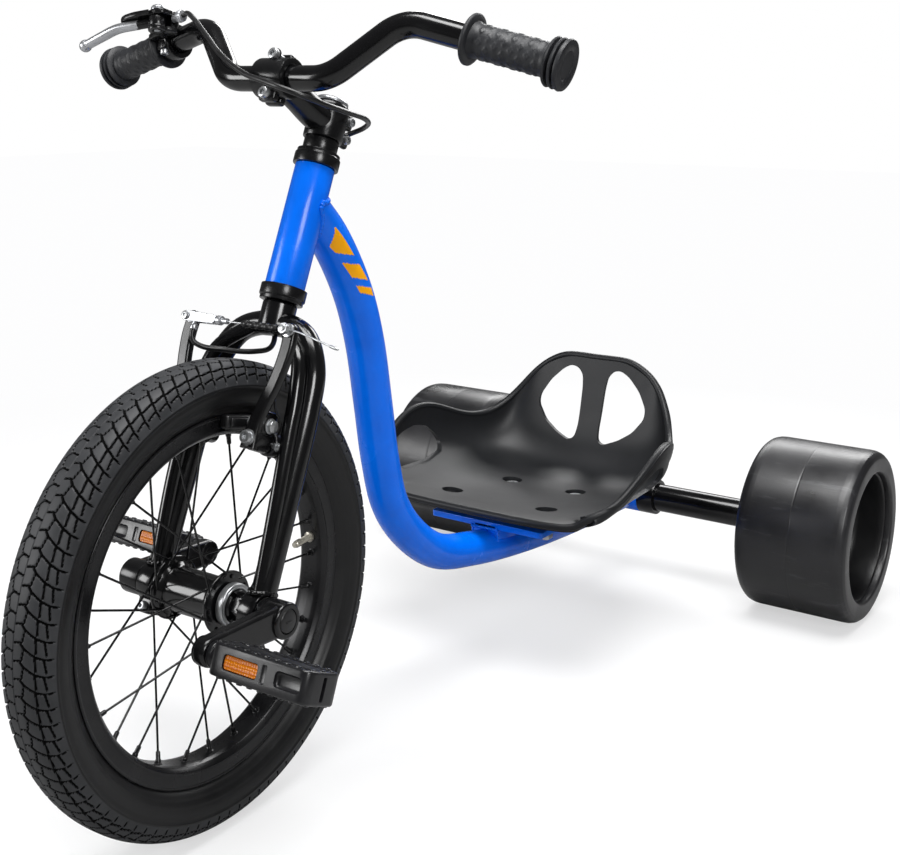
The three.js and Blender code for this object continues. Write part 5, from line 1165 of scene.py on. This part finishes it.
def build_brake():
    forward = spin(QUARTER)
    turn = shift(0, PAD_Y, PAD_Z) @ spin(math.atan2(-PAD_Y, PAD_Z))
    front = lambda y, x=PIVOT_X, z=PIVOT_Z: aim((x, y, z), (x, y - 10, z))
    beside = lambda x: shift(x, PAD_Y, PAD_Z) @ ALONG_X
    for side, place in SIDES:
        at, body = STEER @ place, f"{side}_brake"
        upper = moved(plate(arm_strip(), 8, 2.4), shift(0, -43, 0) @ forward)
        barrel = moved(hoop([(4.8, 0), (8.2, 0), (8.2, 1.6), (9.5, 2.2), (9.5, 18.6), (8.8, 21.2),
                             (4.8, 21.2)], 56, 0.7), front(-22.8))
        boss = block((14, 21.2, 26), (PIVOT_X, -33.4, PIVOT_Z + 13), 3.5)
        piece(f"{side}_arm", joined(upper, barrel, boss), body, ALLOY, at, f"{side}_brake_arm")
        bolt = joined(moved(sleeve(3.2, 7, 0, 1.2, 40, 0.3), front(-47.3)),
                      moved(socket_bolt(5.6, 4.2, 2.7), front(-48.3)))
        piece(f"{side}_arm_screw", bolt, "steering", ZINC, at, f"{side}_brake_bolt")
        shoe = moved(block((9, 56, 12), (22.5, 0, 0), 2.6), turn)
        holder = moved(block((3.4, 50, 8), (27.6, 0, 0), 1.2), turn)
        pad = piece(f"{side}_pad", joined(shoe, holder), body, RUBBER, at, f"{side}_brake_pad")
        carved(pad, *[metres(moved(block((0.8, 2.6, 13), (18.2, y, 0), 0.2, 1), turn), at)
                      for y in (-14, 0, 14)])
        studs = [rod((26, PAD_Y, PAD_Z), (54, PAD_Y, PAD_Z), 3, 28, 0.4),
                 moved(hoop([(3.3, 29), (6.6, 29), (5.6, 34.4), (3.3, 34.4)], 36, 0.4), beside(0)),
                 moved(sleeve(3.3, 6.6, 0, 1.2, 36, 0.3), beside(49.3)),
                 moved(hex_nut(5, 3.4, 2.9), beside(50.5))]
        piece(f"{side}_pad_stud", joined(*studs), body, ZINC, at)
        coil = [Vector((PIVOT_X + 9.6 * math.cos(a), -6 - 2.2 * a / FULL, PIVOT_Z + 9.6 * math.sin(a)))
                for a in np.linspace(0, 2.6 * FULL, 90)]
        leg = [coil[-1], Vector((52.5, -22, 152)), Vector((51.5, -34, 166)), Vector((51, -38, 176))]
        piece(f"{side}_spring", swept(coil + flowing(leg, 16)[1:], 0.9, 10), body, ALLOY, at)
        housing = [(8.3, 0), (10.4, 0.6), (10.8, 3), (10.8, 8.4), (9.8, 9.6), (8.3, 9.6)]
        piece(f"{side}_spring_cap", moved(hoop(housing, 56, 0.5), front(-12.8)), body, PEDAL, at)
        stop = joined(rod((48, -18.6, 136), (52.4, -18.6, 136), 4.4, 28, 0.6),
                      moved(socket_bolt(3.5, 3, 1.4), shift(52.2, -18.6, 136) @ ALONG_X))
        piece(f"{side}_spring_screw", stop, body, ZINC, at)
    line = flowing([(-14, WIRE_Y, WIRE_Z), (0, WIRE_Y, WIRE_Z), (28, WIRE_Y, WIRE_Z),
                    (ANCHOR_X, WIRE_Y, WIRE_Z), (70, WIRE_Y, 229), (91, WIRE_Y, 224.6),
                    (113, WIRE_Y, 219.8)], 110)
    strand = swept(line, lambda t, a: 0.78 + 0.04 * math.cos(3 * a + 60 * t), 18)
    end = moved(hoop([(0.85, 0), (1.3, 0), (1.4, 6), (0.85, 9)], 20, 0.3), aim(line[-8], line[-1]))
    piece("inner_wire", joined(strand, end), "left_brake", ZINC, STEER, "inner_cable")
    anchor = joined(moved(turned([(0, 0), (5.8, 0), (5.8, 1.6), (0, 1.6)], 40, 0.3),
                          front(-47.3, ANCHOR_X, WIRE_Z)),
                    moved(hex_nut(4.4, 4.4), front(-51.6, ANCHOR_X, WIRE_Z)),
                    rod((ANCHOR_X, -52, WIRE_Z), (ANCHOR_X, -57.2, WIRE_Z), 2.4, 24))
    piece("wire_anchor", anchor, "left_brake", ZINC, STEER)
    ridges = [(3 - 0.35 * math.cos(k * FULL / 8), x) for k, x in enumerate(np.linspace(8, 47, 41))]
    ridges = [(1.2, 8), *ridges, (1.2, 47)]
    piece("boot", moved(hoop(ridges, 36, 0.2), shift(0, WIRE_Y, WIRE_Z) @ ALONG_X),
          "left_brake", RUBBER, STEER, "cable_boot")
    pipe = swept(bent([(PIPE_X, WIRE_Y, 219), (PIPE_X, WIRE_Y, WIRE_Z), (-9, WIRE_Y, WIRE_Z)], 8, 14), 2.6,
                 28)
    collars = [rod((PIPE_X, WIRE_Y, 219), (PIPE_X, WIRE_Y, 223), 3.3, 28),
               rod((-21, WIRE_Y, WIRE_Z), (-15.4, WIRE_Y, WIRE_Z), 4.2, 28, 1)]
    lay = shift(LINK_X, WIRE_Y, WIRE_Z) @ forward
    cheeks = [moved(plate(arm_outline(31, 4.6, 3.9), 1.5, 0.4), shift(0, s * 2.8, 0) @ lay) for s in (1, -1)]
    bridge = block((22, 6.2, 1.4), (-36, WIRE_Y, WIRE_Z + 3.4), 0.6, 2)
    piece("curved_pipe", joined(pipe, *collars, *cheeks, bridge), "right_brake", BRIGHT, STEER,
          "brake_noodle")
    pivot = joined(rod((LINK_X, -46.8, WIRE_Z), (LINK_X, -54.6, WIRE_Z), 2.4, 28),
                   moved(socket_bolt(3.8, 2.2, 1.6), front(-54, LINK_X, WIRE_Z)))
    piece("link_rivet", pivot, "right_brake", ZINC, STEER)


build_brake()


# Brake lever: +X out along the right of the handlebar, +Y away from it, +Z up

OUT = Vector((-GRIP_WAY.x, GRIP_WAY.y, GRIP_WAY.z))
FORE = Vector((-0.36, -0.9, -0.17))
FORE = (FORE - OUT * FORE.dot(OUT)).normalized()
UP = OUT.cross(FORE)
LEVER_AT = (MIRROR @ BAR_ROOT) + OUT * (160 - BAR_ROOT.x) / GRIP_WAY.x
LEVER = STEER @ shift(*LEVER_AT) @ Matrix((OUT, FORE, UP)).transposed().to_4x4()


PIN_X, PIN_Y = -14, 31
ADJUSTER_Y, ADJUSTER_Z = 21, 9
END_X, END_Y, END_Z = 65, 56.5, -1


def build_lever():
    pin_place = shift(PIN_X, PIN_Y, 0)
    clamp = moved(hoop([(11.5, -6.5), (16, -6.5), (16.5, -5), (16.5, 5), (16, 6.5), (11.5, 6.5)], 72, 0.8),
                  ALONG_X)
    root = [(-26, 16), (-20, 11), (7, 11), (8, 26), (-22, 27)]
    top = [(-26, 16), (-20, 11), (7, 11), (8, 25), (20, 33), (25, 40), (23, 47), (15, 50), (2, 48),
           (-22, 38), (-26, 34)]
    low_part = moved(plate(rounded(root, 3, 4), 19, 1.6), shift(0, 0, 7.5))
    top_part = moved(plate(rounded(top, 4, 4), 5.2, 1.4), shift(0, 0, 14.4))
    ear = moved(sleeve(3.4, 8.5, -2, 2.2, 40, 0.8), pin_place)
    bore = metres(rod((-60, 0, 0), (60, 0, 0), 11.5, 64, 0), LEVER)
    slot = metres(block((140, 20, 9.6), (0, 32, 7), 0.3), LEVER)
    carved(piece("lever_body", low_part, "steering", ALLOY, LEVER, "lever_bracket"), slot, bore, edge=0.6)
    cuts = [metres(block((40, 2.6, 8), (-10, 22, 16), 0.4), LEVER),
            metres(block((20, 2.6, 8), (-14, 40, 16), 0.4), LEVER)]
    carved(piece("lever_body_top", top_part, "steering", ALLOY, LEVER), bore, *cuts, edge=0.6)
    piece("lever_ear", ear, "steering", ALLOY, LEVER)
    piece("lever_clamp", clamp, "steering", ALLOY, LEVER)
    clamp_screw = joined(rod((0, 12, -12), (0, 12, -2), 2.4),
                         moved(socket_bolt(4, 4, 2), aim((0, 12, -11), (0, 12, -16))))
    piece("clamp_ear", block((10, 8, 9), (0, 13.5, -7), 2), "steering", ALLOY, LEVER)
    piece("clamp_screw", clamp_screw, "steering", ZINC, LEVER)
    cap = [(0, 17.3), (6.5, 17.3), (6.5, 20.6), (5.2, 22.3), (2.6, 22.3), (2.2, 21.2), (0, 21.2)]
    pin = joined(rod((PIN_X, PIN_Y, -2), (PIN_X, PIN_Y, 17), 3), moved(turned(cap, 48, 0.5), pin_place))
    piece("lever_pivot", pin, "steering", BRIGHT, LEVER, "lever_pin")
    run = flowing([(PIN_X, PIN_Y, 7), (4, 39, 7), (26, 47.5, 7), (44, 52, 3.5), (END_X, END_Y, END_Z)], 48)
    blade = swept(run[11:], lambda t, a: (4.6 + 0.3 * math.sin(math.pi * t)) * (1 - 0.1 * math.cos(2 * a)),
                  36)
    tip = [(6 * math.sin(a), 6 * math.cos(a)) for a in np.linspace(math.pi, 0, 18)]
    knob = moved(turned(tip, 40, 0), shift(END_X, END_Y, END_Z))
    piece("lever_blade", joined(blade, knob), "lever", BRIGHT, LEVER, "brake_lever")
    root = moved(sleeve(3.4, 8, 2.5, 11.5, 48, 0.8), pin_place)
    piece("lever_root", joined(swept(run[:13], 4.3, 32), root), "lever", ALLOY, LEVER)
    barrel = [(0, 0), (3.8, 0), (3.8, 6), (5.2, 6.6), (5.2, 12.4), (4.6, 13), (0, 13)]
    screw = moved(turned(barrel, 40, 0.4), shift(-26.3, ADJUSTER_Y, ADJUSTER_Z) @ spin(-QUARTER, "Y"))
    knurl = [block((5, 1, 1), (-35.8, ADJUSTER_Y + 5.1 * math.cos(a), ADJUSTER_Z + 5.1 * math.sin(a)), 0.3, 1)
             for a in np.linspace(0, FULL, 18, endpoint=False)]
    piece("adjuster", joined(screw, *knurl), "steering", BRIGHT, LEVER, "cable_adjuster")


build_lever()


# Cable housing

CABLE = [(-106, -86, 492), (-93, -90, 483), (-76, -94, 471), (-57, -98, 457), (-35, -102, 444),
         (-12, -104, 433), (11, -107, 426), (33, -107, 420), (50, -97, 417), (57, -76, 418), (55, -45, 424),
         (42, 2, 435), (14, 36, 440), (-16, 36, 425), (-27, 26, 385), (-27, 20, 330), (-27, 20, 275),
         (-20, 21, 248), (-12, 18, 231), (-8, 9, 221), (-11, -4, 215), (-18, -17, 211), (-27, -31, 208.5),
         (-37, -42, 206.5), (-44, -48, 209), (-46, -50.4, 214)]


def build_cable():
    inside = STEER.inverted() @ LEVER
    start, after = (inside @ Vector((x, ADJUSTER_Y, ADJUSTER_Z)) for x in (-39.6, -45.6))
    line = flowing([start, after, *CABLE, (PIPE_X, WIRE_Y, 218.7)], 260)
    beside, below = (min(range(len(line)), key=lambda k: (line[k] - Vector(spot)).length)
                     for spot in ((-27, 20, 300), (-10, 4, 217)))
    # The housing is cut where it would bend: beside the head tube, which the steering turns past, and at the
    # arm that swings its end.
    runs = (("upper", line[:beside + 1], "steering", "frame_body", (0, 0, 415), (0, 0, 360)),
            ("middle", line[beside:below + 1], "frame_body", "steering", (0, 0, 290), (0, 0, 250)),
            ("end", line[below:], "steering", "right_brake", (-14, -10, 214), (-43, -47, 209)))
    total = 0
    for name, run, before, past, low, high in runs:
        length = sum((b - a).length for a, b in zip(run, run[1:])) * MM
        nodes = ["brake_cable"] if name == "upper" else []
        housing = piece(f"cable_housing_{name}", swept(run, 2.4, 20), None, RUBBER, STEER, *nodes)
        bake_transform(housing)
        total += length
    print("cable length", round(total, 4))


build_cable()


# Stage, light and camera

def build_stage():
    floor_mesh = bpy.data.meshes.new("floor")
    half, down = 9, -0.0004
    corners = [(-half, -half, down), (half, -half, down), (half, half, down), (-half, half, down)]
    floor_mesh.from_pydata(corners, [], [(0, 1, 2, 3)])
    floor = bpy.data.objects.new("floor", floor_mesh)
    bpy.context.scene.collection.objects.link(floor)
    material, tree, shader = tree_of("floor_sweep")
    tree.nodes.remove(shader)
    ray = node(tree, "LightPath").outputs["Is Camera Ray"]
    diffuse = node(tree, "BsdfDiffuse")
    tree.links.new(ramp(tree, ray, 0.0, (0.36,) * 3, 1.0, (0.82,) * 3), diffuse.inputs["Color"])
    glow = node(tree, "Emission", Color=(0.985, 0.985, 0.99, 1))
    far = node(tree, "VectorMath")
    far.operation = "LENGTH"
    tree.links.new(node(tree, "TexCoord").outputs["Object"], far.inputs[0])
    both = node(tree, "Math")
    both.operation = "MULTIPLY"
    tree.links.new(spread(tree, far.outputs["Value"], 0.58, 1, 0.75, 1.6), both.inputs[0])
    tree.links.new(ray, both.inputs[1])
    mixed(tree, both.outputs[0], diffuse, glow, tree.nodes["Material Output"])
    floor_mesh.materials.append(material)


def mixed(tree, share, first, second, output):
    """Puts a mix of two shaders on an output."""
    mix = node(tree, "MixShader")
    for source, spot in zip((share, first.outputs[0], second.outputs[0]), mix.inputs):
        tree.links.new(source, spot)
    tree.links.new(mix.outputs[0], output.inputs["Surface"])


def build_world():
    """Dim white light all round, and plain white where the camera sees past the floor."""
    world = bpy.data.worlds.new("studio")
    bpy.context.scene.world = world
    world.use_nodes = True
    tree = world.node_tree
    white = (1, 1, 1, 1)
    room = tuned(tree.nodes["Background"], Color=white, Strength=0.12)
    ray = node(tree, "LightPath").outputs["Is Camera Ray"]
    mixed(tree, ray, room, node(tree, "Background", Color=white), tree.nodes["World Output"])


def lamp(name, spot, target, size, power):
    light = bpy.data.lights.new(name, "AREA")
    light.shape = "RECTANGLE"
    light.size, light.size_y = size
    light.energy = power
    made = bpy.data.objects.new(name, light)
    made.location = spot
    made.rotation_euler = (Vector(target) - Vector(spot)).to_track_quat("-Z", "Y").to_euler()
    bpy.context.scene.collection.objects.link(made)


def build_camera():
    camera = bpy.data.cameras.new("camera")
    made = bpy.data.objects.new("camera", camera)
    bpy.context.scene.collection.objects.link(made)
    heading, rise = math.radians(36.8), math.radians(10.1)
    back = Vector((math.sin(heading) * math.cos(rise), -math.cos(heading) * math.cos(rise), math.sin(rise)))
    made.location = (0.7811, -1.1574, 0.6372)
    made.rotation_mode = "QUATERNION"
    made.rotation_quaternion = (-back).to_track_quat("-Z", "Y")
    camera.lens = 54.99
    camera.sensor_width = 36
    camera.shift_x, camera.shift_y = 0.0869, -0.1114
    bpy.context.scene.camera = made


build_stage()
build_world()
lamp("top", (0.3, -0.3, 2.4), (0, 0, 0.2), (1.5, 1.1), 66)
lamp("left_front", (2.1, -1.5, 1.7), (0, 0, 0.3), (0.9, 0.9), 38)
lamp("right_front", (-1.5, -1.8, 0.9), (0.2, 0.1, 0.25), (0.9, 0.9), 26)
lamp("back_rim", (-0.5, 2.3, 1.7), (0, 0.2, 0.3), (2.2, 0.9), 46)
build_camera()
bpy.context.scene.view_settings.view_transform = "Standard"
